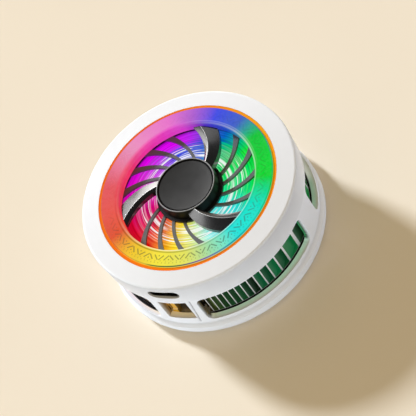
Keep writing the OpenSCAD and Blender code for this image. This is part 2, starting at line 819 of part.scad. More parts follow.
// Laminated stator with its poles
module stator_core() {
    color("slategray") difference() {
        union() {
            translate([0, 0, core_z]) cylinder(r = tube_r + neck_w / 2, h = core_t);
            for (i = [0 : pole_count - 1]) {
                rotate([0, 0, i * 360 / pole_count]) {
                    pole_neck(0);
                    sector(core_r - pole_lip, core_r, core_z, core_z + core_t, -pole_head, pole_head);
                }
            }
        }
        translate([0, 0, core_z - cut]) cylinder(r = tube_r, h = core_t + 2 * cut);
    }
}

// Windings round the poles' necks
module stator_coils() {
    coil_in = tube_r + neck_w / 2 + fit_gap;
    coil_out = core_r - pole_lip - fit_gap;
    color("chocolate") for (i = [0 : pole_count - 1]) {
        rotate([0, 0, i * 360 / pole_count]) difference() {
            intersection() {
                pole_neck(winding_t);
                ring(coil_in, coil_out, core_z - winding_t, core_z + core_t + winding_t);
            }
            pole_neck(0);
        }
    }
}

// Round board under the stator
module motor_board() {
    color("green") ring(tube_r + fit_gap, core_r + air_gap, plate_top_z, motor_z);
}

// Aluminium heat sink with straight fins along the socket's axis
module heat_sink() {
    fin_count = floor((sink_r - fin_t) / fin_pitch);
    color("silver") difference() {
        union() {
            translate([0, 0, sink_z]) cylinder(r = sink_r, h = sink_t);
            intersection() {
                translate([0, 0, sink_z]) cylinder(r = sink_r, h = fin_top_z - sink_z);
                for (i = [-fin_count : fin_count]) {
                    translate([i * fin_pitch - fin_t / 2, -case_r, sink_z])
                        cube([fin_t, 2 * case_r, fin_top_z - sink_z]);
                }
            }
        }
        at_posts(post_r + sink_gap / 2, sink_z - cut, fin_top_z + cut);
        translate([-bay_half, -case_r, sink_z - cut])
            cube([2 * bay_half, case_r - sink_r + bay_depth, fin_top_z - sink_z + 2 * cut]);
    }
}

// Square plate of the thermoelectric cell
module cell_plate(z) {
    translate([-cell_w / 2, -cell_w / 2, z]) cube([cell_w, cell_w, cell_plate_t]);
}

// Warm side of the thermoelectric cell
module hot_plate() {
    color("white") cell_plate(sink_z - cell_plate_t);
}

// Cold side of the thermoelectric cell
module cold_side_plate() {
    color("white") cell_plate(cold_z);
}

// Legs between the two plates of the cell
module cell_legs() {
    step = (cell_w - 2 * cell_margin - leg_w) / (leg_count - 1);
    start = cell_margin - cell_w / 2;
    color("dimgray") for (i = [0 : leg_count - 1], j = [0 : leg_count - 1]) {
        translate([start + i * step, start + j * step, cold_z + cell_plate_t])
            cube([leg_w, leg_w, leg_h]);
    }
}

// Height of the leads' run from the cell to the edge of the case
function lead_z() = sink_z - cell_plate_t;

// Foam round the thermoelectric cell, with a slot for its leads
module cell_gasket() {
    side = cell_w + 2 * magnet_gap;
    slot_r = lead_r + fit_gap;
    color("darkslategray") difference() {
        translate([0, 0, cold_z]) cylinder(r = cold_rim_r, h = sink_z - cold_z);
        translate([-side / 2, -side / 2, cold_z - cut]) cube([side, side, sink_z - cold_z + 2 * cut]);
        translate([lead_x - lead_gap / 2 - slot_r, -cold_rim_r - cut, lead_z() - slot_r])
            cube([lead_gap + 2 * slot_r, cold_rim_r, sink_z]);
    }
}

// Two leads from the cell out to the bay and up to the control board
module cell_leads() {
    color("firebrick") for (side = [-1, 1]) {
        translate([lead_x + side * lead_gap / 2, -cell_w / 2, lead_z()]) {
            rotate([90, 0, 0]) cylinder(r = lead_r, h = lead_y - cell_w / 2);
            translate([0, cell_w / 2 - lead_y, 0]) {
                sphere(r = lead_r);
                cylinder(r = lead_r, h = board_z - lead_z());
            }
        }
    }
}

// Cooling plate that meets the phone
module cooling_plate() {
    color("gainsboro") union() {
        cylinder(r = cold_r, h = cold_z);
        translate([0, 0, cold_face_t]) cylinder(r = cold_rim_r, h = cold_rim_t);
    }
}

// Directions between which magnets lie, free of the posts
function magnet_spans() = [
    [magnet_clear, 90 - magnet_clear],
    [90 + magnet_clear, 180 - magnet_clear],
    [180 + magnet_clear, 270 - bay_post - magnet_clear],
    [bay_post + magnet_clear - 90, -magnet_clear]
];

// Flat magnets in a broken ring
module magnets() {
    color("gray") for (span = magnet_spans()) {
        count = round((span[1] - span[0]) / magnet_arc);
        step = (span[1] - span[0]) / count;
        for (i = [0 : count - 1]) {
            sector(magnet_r, magnet_r + magnet_w, floor_z, floor_z + magnet_t,
                span[0] + i * step + magnet_split / 2, span[0] + (i + 1) * step - magnet_split / 2);
        }
    }
}

// Steel ring behind the magnets, open at the socket and notched for the posts
module magnet_shield() {
    spans = magnet_spans();
    color("slategray") difference() {
        sector(magnet_r, magnet_r + magnet_w, floor_z + magnet_t, floor_z + magnet_t + shield_t,
            spans[3][0], spans[2][1]);
        at_posts(post_r + magnet_gap, floor_z, sink_z);
    }
}

// Soft ring that grips the phone and hides the screw heads
module face_pad() {
    color("lightgray") ring(pad_in, pad_out, 0, pad_t);
}

// Curved control board beside the socket
module control_board() {
    board_r = case_in - board_edge;
    color("darkgreen") difference() {
        sector(board_r - board_w, board_r, board_z, board_top_z,
            socket_az - board_half, socket_az + board_half);
        at_posts(post_top_r + fit_gap, board_z - cut, board_top_z + cut);
    }
}

// Depth of the socket's mouth, from the axis
function socket_y() = cover_r - socket_recess;

// Metal shell of the power socket
module socket_shell() {
    color("silver") translate([0, socket_l - socket_y(), socket_z]) rotate([90, 0, 0])
        linear_extrude(socket_l) difference() {
            stadium(socket_w, socket_h);
            stadium(socket_w - 2 * socket_t, socket_h - 2 * socket_t);
        }
}

// Rear block and tongue of the socket
module socket_tongue() {
    block_h = socket_h - 2 * socket_t - 2 * fit_gap;
    block_w = socket_w - 2 * socket_t - 2 * fit_gap;
    color("black") translate([0, socket_l - socket_y(), socket_z]) rotate([90, 0, 0]) {
        linear_extrude(block_l) stadium(block_w, block_h);
        translate([-tongue_w / 2, -tongue_t / 2, 0]) cube([tongue_w, tongue_t, block_l + tongue_l]);
    }
}

// Contacts on both sides of the tongue
module socket_contacts() {
    color("gold") translate([0, socket_l - socket_y() - block_l - (tongue_l - contact_l) / 2, socket_z])
        for (i = [0 : contact_count - 1], side = [0, 1]) {
            translate([(i - (contact_count - 1) / 2) * contact_pitch - contact_w / 2, -contact_l,
                side == 0 ? tongue_t / 2 : -tongue_t / 2 - contact_t])
                cube([contact_w, contact_l, contact_t]);
        }
}

// Block on the control board, at an angle from the socket's axis
module board_block(w, h, a) {
    rotate([0, 0, socket_az + a])
        translate([case_in - board_edge - (board_w + w) / 2, -w / 2, board_top_z]) cube([w, w, h]);
}

// Control chip
module control_chip() {
    color("black") board_block(chip_w, chip_h, chip_angle);
}

// Choke of the power converter
module choke() {
    color("dimgray") board_block(choke_w, plate_z - board_top_z - choke_gap, -chip_angle);
}

// Screws from the floor through posts and lugs into the cover
module case_screws() {
    color("silver") union() {
        at_posts(head_r, pad_t + fit_gap, pad_t + fit_gap + head_h);
        at_posts(screw_r, pad_t + fit_gap + head_h / 2, plate_top_z + thread_h - fit_gap);
    }
}

base_shell();
top_cover();
trim_ring();
light_ring();
lamp_board();
lamps();
impeller();
vane_wheel();
hub_cap();
rotor_yoke();
rotor_magnet();
shaft();
fan_plate();
bearing_tube();
bearing_bush();
thrust_pad();
stator_core();
stator_coils();
motor_board();
heat_sink();
hot_plate();
cell_legs();
cold_side_plate();
cell_gasket();
cell_leads();
cooling_plate();
magnets();
magnet_shield();
face_pad();
control_board();
socket_shell();
socket_tongue();
socket_contacts();
control_chip();
choke();
case_screws();
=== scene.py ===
"""Looks of a round phone cooling fan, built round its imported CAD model."""

import math

import bmesh
import bpy
from mathutils import Matrix, Vector


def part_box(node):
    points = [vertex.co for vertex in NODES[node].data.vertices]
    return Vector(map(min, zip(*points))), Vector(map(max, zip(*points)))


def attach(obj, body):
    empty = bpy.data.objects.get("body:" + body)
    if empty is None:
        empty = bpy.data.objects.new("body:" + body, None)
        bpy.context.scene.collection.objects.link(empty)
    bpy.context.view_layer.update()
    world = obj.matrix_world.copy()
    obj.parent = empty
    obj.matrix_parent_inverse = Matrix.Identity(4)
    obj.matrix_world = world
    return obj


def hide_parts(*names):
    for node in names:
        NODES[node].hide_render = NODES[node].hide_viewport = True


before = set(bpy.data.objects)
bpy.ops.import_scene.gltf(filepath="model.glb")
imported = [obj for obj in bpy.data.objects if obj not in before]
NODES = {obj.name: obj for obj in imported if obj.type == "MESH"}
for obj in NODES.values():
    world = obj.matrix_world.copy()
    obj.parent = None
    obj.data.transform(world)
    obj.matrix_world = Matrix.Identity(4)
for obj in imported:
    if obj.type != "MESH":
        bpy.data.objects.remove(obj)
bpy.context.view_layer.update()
MM = 0.001

bl_info = {
    "name": "Phone cooling fan",
    "version": (1, 0, 0),
    "blender": (4, 5, 0),
    "location": "View3D > Sidebar > Cooling fan",
    "description": "Finishes, smooth rotor, ring ornament and studio for a phone cooling fan",
    "category": "Object",
}

# Details that only the materials show, painted glow and shade among them: levels, radii and directions
WINDOW_LOW, WINDOW_HIGH = 6.3 * MM, 19.6 * MM
CREASE_LOW, CREASE_HIGH = 5.2 * MM, 6.0 * MM
CASE_INSIDE, CASE_OUTSIDE = 30.8 * MM, 31.9 * MM
PANEL_LINE_FOOT = 6.9 * MM
PANEL_LINE_TURN, PANEL_LINE_LEAN = math.radians(280.4), math.radians(5.5)
BEZEL_EDGE = 0.8 * MM
FIN_PITCH, FIN_FLOOR = 1.6 * MM, 2.0 * MM
BLADE_FADE_START, BLADE_FADE_END = 10.5 * MM, 17.5 * MM
VANE_RING = 9.95 * MM
CAP_HOLLOW = 0.05
GRAIN_DEPTH = 0.2 * MM
COAT_ROUGHNESS = 0.12
SATIN_LOW, SATIN_HIGH = 0.29, 0.37
PALE = (0.92, 0.92, 0.92, 1.0)

# Hub, in the radius and height plane
HUB_FOOT, HUB_TOP, HUB_RIM = 9.1 * MM, 8.85 * MM, 0.35 * MM
HUB_STEP, HUB_EDGE, HUB_ROUNDING = 0.85 * MM, 0.12 * MM, 0.09 * MM
HUB_SEGMENTS = 192

# Wide blades: the crest is a share of the width, and heights are shares of the blade's own height
BLADES, BLADE_STEPS = 3, 96
BLADE_ROOT, BLADE_TIP = 8.525 * MM, 20.15 * MM
BLADE_GAP, BLADE_LIFT = 0.3 * MM, 0.35 * MM
ROOT_HEIGHT, TIP_HEIGHT = 2.95 * MM, 1.7 * MM
CREST, CREST_HALF = 0.70, 0.11 * MM
RISE_STEPS, FALL_STEPS = 14, 8
RISE, FALL, FALL_BEND, UNDER_RISE = 0.305, 0.245, 1.3, 0.2
BLADE_SHARP, FLOOR_SHARP = 38, 30

# Light ring and its band of strokes
RING_WIDTH, RING_GLOW = 5.3 * MM, 0.80
ZIGZAG_OUT, ZIGZAG_LENGTH = 2.6 * MM, 1.95 * MM
INNER_DOTS_OUT, OUTER_DOTS_OUT = 2.05 * MM, 3.1 * MM
TICKS_OUT, OUTER_TICKS_OUT = 3.6 * MM, 4.15 * MM
TICK_SHARE, STROKE_HEIGHT = 0.7, 0.02 * MM

# Camera at the photo's view
CAMERA_PLACE = Vector((0.227478, -0.227478, 0.413322))
CAMERA_RIGHT = Vector((0.897045, 0.237443, -0.372734))
CAMERA_BACK = Vector((0.441527, -0.445095, 0.779067))
SENSOR_WIDTH, CLIP_START = 36.0, 0.01

# Studio: distances in metres
KEY_COLOUR, KEY_SPREAD, KEY_FAR = (0.87, 0.97, 1.15), math.radians(8.0), 2.0
SKY_COLOUR, SKY_TOP = (1.0, 0.84, 0.57, 1.0), (0.05, 0.05, 0.05, 1.0)
FLOOR_BOUNCE, FLOOR_RADIUS = (0.80, 0.82, 0.86, 1.0), 6.0
CARD_FAR, FILL_FAR, FILL_WIDE, FILL_TALL = 0.9, 1.05, 0.70, 0.08

# Cards that only gloss shows: name, direction, rise, width, height, watts
CARDS = (
    ("window_card", 134.0, 11.0, 0.65, 0.40, 3.2),
    ("tip_card", 156.0, 29.0, 0.36, 0.34, 1.35),
    ("side_card", 184.0, 50.0, 0.42, 0.34, 1.1),
    ("far_card", 114.0, 42.0, 0.30, 0.22, 0.25),
)
# Low strips that light the sides: name, direction, rise, watts, colour
FILLS = (
    ("front_fill", 258.0, 2.6, 4.4, (0.77, 0.92, 1.12)),
    ("right_fill", 15.0, 2.6, 1.8, (0.66, 0.88, 1.34)),
)

# Colours round the axis: direction in degrees, then red, green, blue
RING_COLOURS = [
    (8, (0.0, 0.69, 0.03)), (44, (0.0, 0.58, 0.04)), (62, (0.05, 0.12, 0.58)),
    (82, (0.05, 0.07, 0.80)), (100, (0.46, 0.12, 0.66)), (118, (0.84, 0.18, 0.62)),
    (150, (0.84, 0.29, 0.52)), (182, (0.80, 0.10, 0.12)), (224, (0.79, 0.09, 0.03)),
    (244, (0.90, 0.58, 0.02)), (268, (0.94, 0.82, 0.05)), (286, (0.80, 0.80, 0.12)),
    (304, (0.32, 0.74, 0.42)), (322, (0.01, 0.79, 0.72)), (346, (0.0, 0.77, 0.56)),
]
WALL_COLOURS = [
    (0, (0.0, 0.55, 0.08)), (50, (0.02, 0.30, 0.20)), (70, (0.0, 0.05, 0.48)),
    (90, (0.06, 0.02, 0.52)), (108, (0.66, 0.04, 0.58)), (136, (0.84, 0.03, 0.42)),
    (166, (0.84, 0.03, 0.11)), (205, (0.76, 0.03, 0.04)), (240, (0.80, 0.25, 0.02)),
    (265, (0.84, 0.62, 0.05)), (310, (0.10, 0.62, 0.42)),
]
EDGE_COLOURS = [
    (0, (0.0, 0.58, 0.06)), (60, (0.04, 0.10, 0.40)), (110, (0.55, 0.12, 0.42)),
    (170, (0.60, 0.10, 0.12)), (225, (0.60, 0.12, 0.03)), (257, (0.62, 0.46, 0.03)),
    (262, (0.07, 0.16, 0.03)), (280, (0.05, 0.15, 0.05)), (296, (0.24, 0.05, 0.45)),
    (316, (0.0, 0.30, 0.38)), (336, (0.0, 0.60, 0.44)),
]
# Painted reflection of the lamps' colours on the plate, outer and inner
PLATE_OUTER = [
    (0, (0.0, 0.84, 0.12)), (48, (0.0, 0.78, 0.04)), (74, (0.0, 0.14, 0.58)),
    (90, (0.04, 0.08, 0.70)), (106, (0.52, 0.02, 0.92)), (120, (0.76, 0.0, 0.96)),
    (148, (0.78, 0.0, 0.92)), (184, (0.76, 0.0, 0.52)), (206, (0.62, 0.0, 0.04)),
    (244, (0.72, 0.0, 0.0)), (258, (0.96, 0.36, 0.0)), (272, (1.0, 0.76, 0.0)),
    (300, (0.48, 0.86, 0.70)), (324, (0.02, 0.72, 0.80)),
]
PLATE_INNER = [
    (4, (0.0, 0.84, 0.28)), (40, (0.0, 0.80, 0.10)), (70, (0.0, 0.66, 0.24)),
    (92, (0.0, 0.08, 0.64)), (122, (0.03, 0.06, 0.78)), (142, (0.44, 0.08, 0.86)),
    (162, (0.78, 0.08, 0.84)), (204, (0.76, 0.0, 0.20)), (232, (0.82, 0.03, 0.06)),
    (250, (0.94, 0.22, 0.02)), (268, (1.0, 0.74, 0.0)), (286, (0.72, 0.84, 0.20)),
    (306, (0.26, 0.86, 0.84)), (344, (0.02, 0.82, 0.78)),
]
# Painted glow of the lamps inside the windows, on the case's inner faces and the fins
GLOW_COLOURS = [
    (0, (0.0, 0.32, 0.07)), (40, (0.0, 0.34, 0.05)), (75, (0.02, 0.14, 0.40)),
    (115, (0.20, 0.04, 0.40)), (155, (0.46, 0.03, 0.26)), (195, (0.46, 0.02, 0.06)),
    (232, (0.50, 0.10, 0.08)), (252, (0.62, 0.22, 0.02)), (264, (0.84, 0.46, 0.03)),
    (280, (0.80, 0.42, 0.03)), (285, (0.07, 0.09, 0.01)), (294, (0.02, 0.13, 0.03)),
    (320, (0.0, 0.20, 0.07)),
]
# Painted coloured light on the sills, in the glow's colours
SILL_GLOW_COLOURS = [
    (0, (0.62, 0.86, 0.72)), (14, (0.40, 0.62, 0.48)), (27, (0.40, 0.60, 0.48)),
    (33, (0.92, 0.93, 0.93)), (60, (0.92, 0.92, 0.94)), (110, (0.74, 0.62, 0.86)),
    (170, (0.86, 0.66, 0.74)), (235, (0.86, 0.74, 0.72)), (258, (0.92, 0.76, 0.46)),
    (280, (0.92, 0.76, 0.46)), (290, (0.60, 0.80, 0.62)), (330, (0.54, 0.86, 0.68)),
]
# The trim's orange with painted shade, deeper on the far side of the ring
TRIM_COLOURS_AND_SHADE = [
    (0, (0.90, 0.25, 0.0)), (45, (0.78, 0.30, 0.0)), (90, (0.74, 0.19, 0.0)),
    (130, (0.66, 0.09, 0.0)), (210, (0.70, 0.13, 0.0)), (270, (0.82, 0.17, 0.0)),
    (320, (1.0, 0.24, 0.01)),
]

# Shares round the axis: direction in degrees, then the share
# Painted shadow along the inner edge of one window
SLIT_SHADOW_SHARES = [(222, 0.0), (231, 1.0), (250, 1.0), (257, 0.0)]
DEEP_SHARES = [(40, 0.0), (70, 0.5), (125, 0.95), (175, 0.8), (235, 0.3), (260, 0.0)]
# Painted highlight along the light ring's inner edge
EDGE_HIGHLIGHT_SHARES = [(5, 0.2), (35, 0.4), (92, 0.1), (115, 0.0), (215, 0.05), (250, 0.3), (285, 0.5), (330, 0.4)]
DIM_SHARES = [(0, 0.15), (30, 0.0), (195, 0.0), (215, 0.4), (245, 0.75), (280, 0.65), (310, 0.4)]
# A second painted highlight beside the light ring's inner edge
SECOND_HIGHLIGHT_SHARES = [(15, 0.0), (50, 0.16), (95, 0.14), (115, 0.0)]
# Strength of the band's strokes; lower shares are painted glare that fades them
BAND_SHARES_BY_GLARE = [(0, 0.45), (40, 0.3), (110, 0.18), (130, 0.0), (203, 0.0), (222, 0.6), (240, 1.0), (330, 1.0)]


class Graph:
    """Short hand for building one material's nodes."""

    def __init__(self, name):
        self.material = bpy.data.materials.new(name)
        self.material.use_nodes = True
        self.tree = self.material.node_tree
        self.tree.nodes.clear()

    def add(self, kind, inputs=None, **settings):
        made = self.tree.nodes.new(kind)
        for key, value in settings.items():
            setattr(made, key, value)
        for key, value in (inputs or {}).items():
            self.feed(made.inputs[key], value)
        return made

    def feed(self, socket, value):
        if isinstance(value, bpy.types.NodeSocket):
            self.tree.links.new(value, socket)
        elif isinstance(value, bpy.types.Node):
            self.tree.links.new(value.outputs[0], socket)
        else:
            socket.default_value = value

    def place(self):
        return self.add("ShaderNodeTexCoord").outputs["Object"]

    def facing(self, axis):
        normal = self.add("ShaderNodeTexCoord").outputs["Normal"]
        return self.add("ShaderNodeSeparateXYZ", {0: normal}).outputs[axis]

    def math(self, operation, first, second=0.0, third=0.0):
        return self.add("ShaderNodeMath", {0: first, 1: second, 2: third}, operation=operation).outputs[0]

    def times(self, first, *others):
        for other in others:
            first = self.math("MULTIPLY", first, other)
        return first

    def span(self, value, low, high, to_low=0.0, to_high=1.0):
        inputs = {"Value": value, "From Min": low, "From Max": high, "To Min": to_low, "To Max": to_high}
        return self.add("ShaderNodeMapRange", inputs).outputs["Result"]

    def band(self, value, low, high, soft):
        rise = self.span(value, low - soft, low + soft)
        fall = self.span(value, high - soft, high + soft, 1.0, 0.0)
        return self.times(rise, fall)

    def mix(self, share, first, second, blend_type="MIX"):
        made = self.add("ShaderNodeMix", data_type="RGBA", blend_type=blend_type)
        self.feed(made.inputs[0], share)
        self.feed(made.inputs[6], first)
        self.feed(made.inputs[7], second)
        return made.outputs[2]

    def noise(self, scale, detail=2.0, vector=None, roughness=0.5):
        inputs = {"Scale": scale, "Detail": detail, "Roughness": roughness, "Vector": vector or self.place()}
        return self.add("ShaderNodeTexNoise", inputs).outputs["Fac"]

    def mottle(self, scale, low, high):
        return self.span(self.noise(scale, 3.0), 0.25, 0.75, low, high)

    def uneven(self, low, high, scale=900.0):
        return self.span(self.noise(scale), 0.3, 0.7, low, high)

    def radius(self):
        flat = self.add("ShaderNodeVectorMath", {0: self.place(), 1: (1.0, 1.0, 0.0)}, operation="MULTIPLY")
        return self.add("ShaderNodeVectorMath", {0: flat.outputs[0]}, operation="LENGTH").outputs["Value"]

    def height(self):
        return self.add("ShaderNodeSeparateXYZ", {0: self.place()}).outputs["Z"]

    def round_the_axis(self, colours):
        turn = self.add("ShaderNodeTexGradient", {"Vector": self.place()}, gradient_type="RADIAL")
        ramp = self.add("ShaderNodeValToRGB", {"Fac": turn.outputs["Fac"]})
        stops = sorted(((az + 180.0) % 360.0 / 360.0, rgb) for az, rgb in colours)
        first, last = stops[0], stops[-1]
        share = (1.0 - last[0]) / (first[0] + 1.0 - last[0])
        seam = tuple(b + (a - b) * share for a, b in zip(first[1], last[1]))
        points = ramp.color_ramp.elements
        points[0].position, points[0].color = 0.0, seam + (1.0,)
        points[1].position, points[1].color = 1.0, seam + (1.0,)
        for position, rgb in stops:
            if 0.0 < position < 1.0:
                points.new(position).color = rgb + (1.0,)
        return ramp.outputs["Color"]

    def share_round_the_axis(self, shares):
        return self.round_the_axis([(az, (share,) * 3) for az, share in shares])

    def grey(self, tone):
        return self.add("ShaderNodeCombineColor", {0: tone, 1: tone, 2: tone}).outputs[0]

    def scaled(self, colour, factor):
        return self.mix(1.0, colour, self.grey(factor), "MULTIPLY")

    def bump(self, height, strength, distance=GRAIN_DEPTH):
        inputs = {"Height": height, "Strength": strength, "Distance": distance}
        return self.add("ShaderNodeBump", inputs).outputs["Normal"]

    def finish(self, **sockets):
        shader = self.add("ShaderNodeBsdfPrincipled")
        for key, value in sockets.items():
            self.feed(shader.inputs[key.replace("_", " ")], value)
        self.add("ShaderNodeOutputMaterial", {"Surface": shader.outputs["BSDF"]})
        return self.material


def moulded_plastic(name, colour, roughness, grain=0.02, coat=0.0):
    """Moulded plastic with a faint mottle, a fine grain and uneven gloss."""
    g = Graph(name)
    shade = g.scaled((*colour, 1.0), g.mottle(420.0, 0.96, 1.02))
    return g.finish(Base_Color=shade, Roughness=g.uneven(roughness * 0.88, roughness * 1.12),
                    Normal=g.bump(g.noise(5200.0), grain), Coat_Weight=coat, Coat_Roughness=COAT_ROUGHNESS)


def turned_metal(name, colour, roughness, stretch=(1.0, 1.0, 1.0), scale=900.0, depth=0.06):
    """Metal with fine drawn or machined lines."""
    g = Graph(name)
    lines = g.add("ShaderNodeMapping", {"Vector": g.place(), "Scale": stretch})
    grain = g.noise(scale, 3.0, lines.outputs["Vector"], 0.6)
    shade = g.scaled((*colour, 1.0), g.span(grain, 0.25, 0.75, 0.86, 1.06))
    gloss = g.span(grain, 0.2, 0.8, roughness * 0.8, roughness * 1.25)
    return g.finish(Base_Color=shade, Metallic=1.0, Roughness=gloss, Normal=g.bump(grain, depth))


def panel_groove_shade(g, front, outside, seam):
    """Share of painted shade along the leaning groove between two panels of the case's front, with a softer painted
    shade beside it.
    """
    across = (-math.sin(PANEL_LINE_TURN) * math.cos(PANEL_LINE_LEAN),
              math.cos(PANEL_LINE_TURN) * math.cos(PANEL_LINE_LEAN), -math.sin(PANEL_LINE_LEAN))
    off = g.add("ShaderNodeVectorMath", {0: g.place(), 1: across}, operation="DOT_PRODUCT").outputs["Value"]
    off = g.math("ADD", off, seam * math.sin(PANEL_LINE_LEAN))
    beside = g.times(g.band(off, -0.7 * MM, 0.0, 0.3 * MM), 0.25)
    line = g.math("MAXIMUM", g.band(off, -0.22 * MM, 0.2 * MM, 0.08 * MM), beside)
    return g.times(line, g.band(g.height(), PANEL_LINE_FOOT, seam, 0.2 * MM), front, outside)


def case_white(name, colour, seam):
    """White case plastic with painted light on its inner faces: a painted glow in the lamps' colours, painted shade
    on the inner sides, painted coloured light on the sills, a painted shadow along one window's edge, and painted
    shade along the panel groove and above the flange.
    """
    g = Graph(name)
    white = g.scaled((*colour, 1.0), g.mottle(380.0, 0.99, 1.005))
    far, height = g.radius(), g.height()
    sill = g.span(g.facing("Z"), 0.7, 0.9)
    front = g.span(g.times(g.facing("Y"), -1.0), 0.5, 0.95)
    inside = g.span(far, CASE_INSIDE, CASE_OUTSIDE, 1.0, 0.0)
    far_inside = g.span(far, CASE_INSIDE - 0.3 * MM, CASE_INSIDE, 1.0, 0.0)
    outside = g.span(far, CASE_OUTSIDE - 0.3 * MM, CASE_OUTSIDE)
    level = g.band(height, WINDOW_LOW, WINDOW_HIGH, 0.6 * MM)
    lit = g.times(inside, level)
    glow, sill_glow = g.round_the_axis(GLOW_COLOURS), g.round_the_axis(SILL_GLOW_COLOURS)
    # Painted shade: the inner side faces are dark and tinted by the glow
    dim = g.scaled(g.mix(0.3, glow, (0.10, 0.11, 0.10, 1.0)), 0.42)
    dark = g.mix(g.times(lit, 0.93), white, dim)
    # Painted light: the sills are tinted in the glow's colours
    pale = g.mix(g.times(lit, 0.85), white, sill_glow)
    # Painted shadow: a dark line along one window's inner edge, where the glow is left out
    slit_shadow = g.times(g.share_round_the_axis(SLIT_SHADOW_SHARES),
                   g.span(far, CASE_INSIDE, CASE_INSIDE + 0.2 * MM, 1.0, 0.0))
    pale = g.mix(g.times(slit_shadow, level), pale, (0.01, 0.01, 0.01, 1.0))
    shade = g.mix(sill, dark, pale)
    # Painted shade along and beside the panel groove
    line = panel_groove_shade(g, front, outside, seam)
    shade = g.mix(g.times(line, 0.8), shade, (0.40, 0.40, 0.42, 1.0))
    # Painted shade: a grey band in the crease above the flange
    crease = g.times(g.band(height, CREASE_LOW, CREASE_HIGH, 0.35 * MM), g.span(inside, 0.0, 0.1, 1.0, 0.0))
    shade = g.mix(g.times(crease, 0.3), shade, (0.55, 0.55, 0.57, 1.0))
    # Painted glow inside the windows, strongest on the sills and on front faces just inside
    beam = g.math("MAXIMUM", g.times(front, far_inside, 0.55), g.span(sill, 0.0, 1.0, 0.03, 0.22))
    strength = g.times(lit, g.math("SUBTRACT", 1.0, slit_shadow), beam)
    return g.finish(Base_Color=shade, Roughness=g.uneven(SATIN_LOW, SATIN_HIGH, 800.0),
                    Normal=g.bump(g.noise(4600.0), 0.015), Emission_Color=g.mix(sill, glow, sill_glow),
                    Emission_Strength=strength, Specular_IOR_Level=0.1)


def cover_white(name, colour, low, high):
    """White of the cover, with painted shade on its side that greys it towards the bezel."""
    g = Graph(name)
    shade = g.scaled((*colour, 1.0), g.mottle(420.0, 0.988, 1.006))
    # Painted shade: the side grows greyer towards the bezel
    side = g.span(g.facing("Z"), 0.2, 0.75, 1.0, 0.0)
    shade = g.mix(side, shade, g.scaled(shade, g.span(g.height(), low, high, 0.94, 0.74)))
    return g.finish(Base_Color=shade, Roughness=g.uneven(SATIN_LOW, SATIN_HIGH),
                    Normal=g.bump(g.noise(5200.0), 0.015), Coat_Weight=0.05, Coat_Roughness=COAT_ROUGHNESS,
                    Specular_IOR_Level=0.35)


def trim_paint_and_glow(name, tint):
    """Glossy orange trim with a painted glow all round and painted shade that deepens it on the far side of the
    ring.
    """
    g = Graph(name)
    colour = g.mix(1.0, g.round_the_axis(TRIM_COLOURS_AND_SHADE), (*tint, 1.0), "MULTIPLY")
    shade = g.scaled(colour, g.mottle(600.0, 0.97, 1.02))
    return g.finish(Base_Color=shade, Roughness=g.uneven(0.30, 0.40), Normal=g.bump(g.noise(5200.0), 0.01),
                    Emission_Color=shade, Emission_Strength=0.3, Specular_IOR_Level=0.15)


def ring_light(name, inner, outer, top):
    """Clear plastic lit from below in rainbow colours, with a painted highlight along its inner edge."""
    g = Graph(name)
    far, height = g.radius(), g.height()
    upper = g.span(height, top - 0.4 * MM, top - 0.2 * MM)
    wall = g.span(height, top - 1.3 * MM, top - 0.35 * MM, 1.0, 0.0)
    near = g.times(g.span(far, inner + 0.2 * MM, inner + 1.5 * MM, 1.0, 0.0), g.share_round_the_axis(DEEP_SHARES))
    deep = g.scaled(g.round_the_axis(WALL_COLOURS), 1.1)
    colour = g.mix(g.math("MAXIMUM", wall, near), g.round_the_axis(RING_COLOURS), deep)
    rim = g.times(g.span(far, outer - 0.30 * MM, outer - 0.16 * MM), upper)
    colour = g.mix(rim, colour, g.round_the_axis(EDGE_COLOURS))
    under = g.times(g.band(far, inner + 0.62 * MM, inner + 1.02 * MM, 0.1 * MM), upper)
    dim, second = g.share_round_the_axis(DIM_SHARES), g.share_round_the_axis(SECOND_HIGHLIGHT_SHARES)
    colour = g.mix(g.times(under, dim), colour, g.scaled(colour, 0.35))
    # Painted highlight: a second pale line beside the inner edge
    colour = g.mix(g.times(under, second), colour, PALE)
    # Painted highlight along the inner edge, by direction round the axis
    edge_highlight = g.times(g.band(far, inner - 0.1 * MM, inner + 0.48 * MM, 0.06 * MM), upper)
    edge_highlight = g.times(edge_highlight, g.share_round_the_axis(EDGE_HIGHLIGHT_SHARES))
    haze = g.span(g.noise(900.0, 3.0), 0.3, 0.7, 0.0, 0.025)
    pale = g.mix(g.math("ADD", edge_highlight, haze), colour, PALE)
    return g.finish(Base_Color=g.scaled(pale, 0.2), Roughness=0.24, Normal=g.bump(g.noise(2600.0), 0.02),
                    Emission_Color=pale, Emission_Strength=g.uneven(RING_GLOW * 0.95, RING_GLOW * 1.05, 150.0),
                    Specular_IOR_Level=0.15, Coat_Weight=0.06, Coat_Roughness=0.1)


def ornament_shade(name, depth):
    """Darker strokes of the band on the light ring, strongest towards the socket and elsewhere faded by painted
    glare.
    """
    g = Graph(name)
    colour = g.round_the_axis(RING_COLOURS)
    shade = g.scaled(g.mix(0.25, colour, (0.20, 0.24, 0.18, 1.0)), 0.56)
    dark = g.mix(g.times(g.share_round_the_axis(BAND_SHARES_BY_GLARE), depth), colour, shade)
    return g.finish(Base_Color=g.scaled(dark, 0.2), Roughness=g.uneven(0.26, 0.38), Emission_Color=dark,
                    Emission_Strength=RING_GLOW, Specular_IOR_Level=0.15)


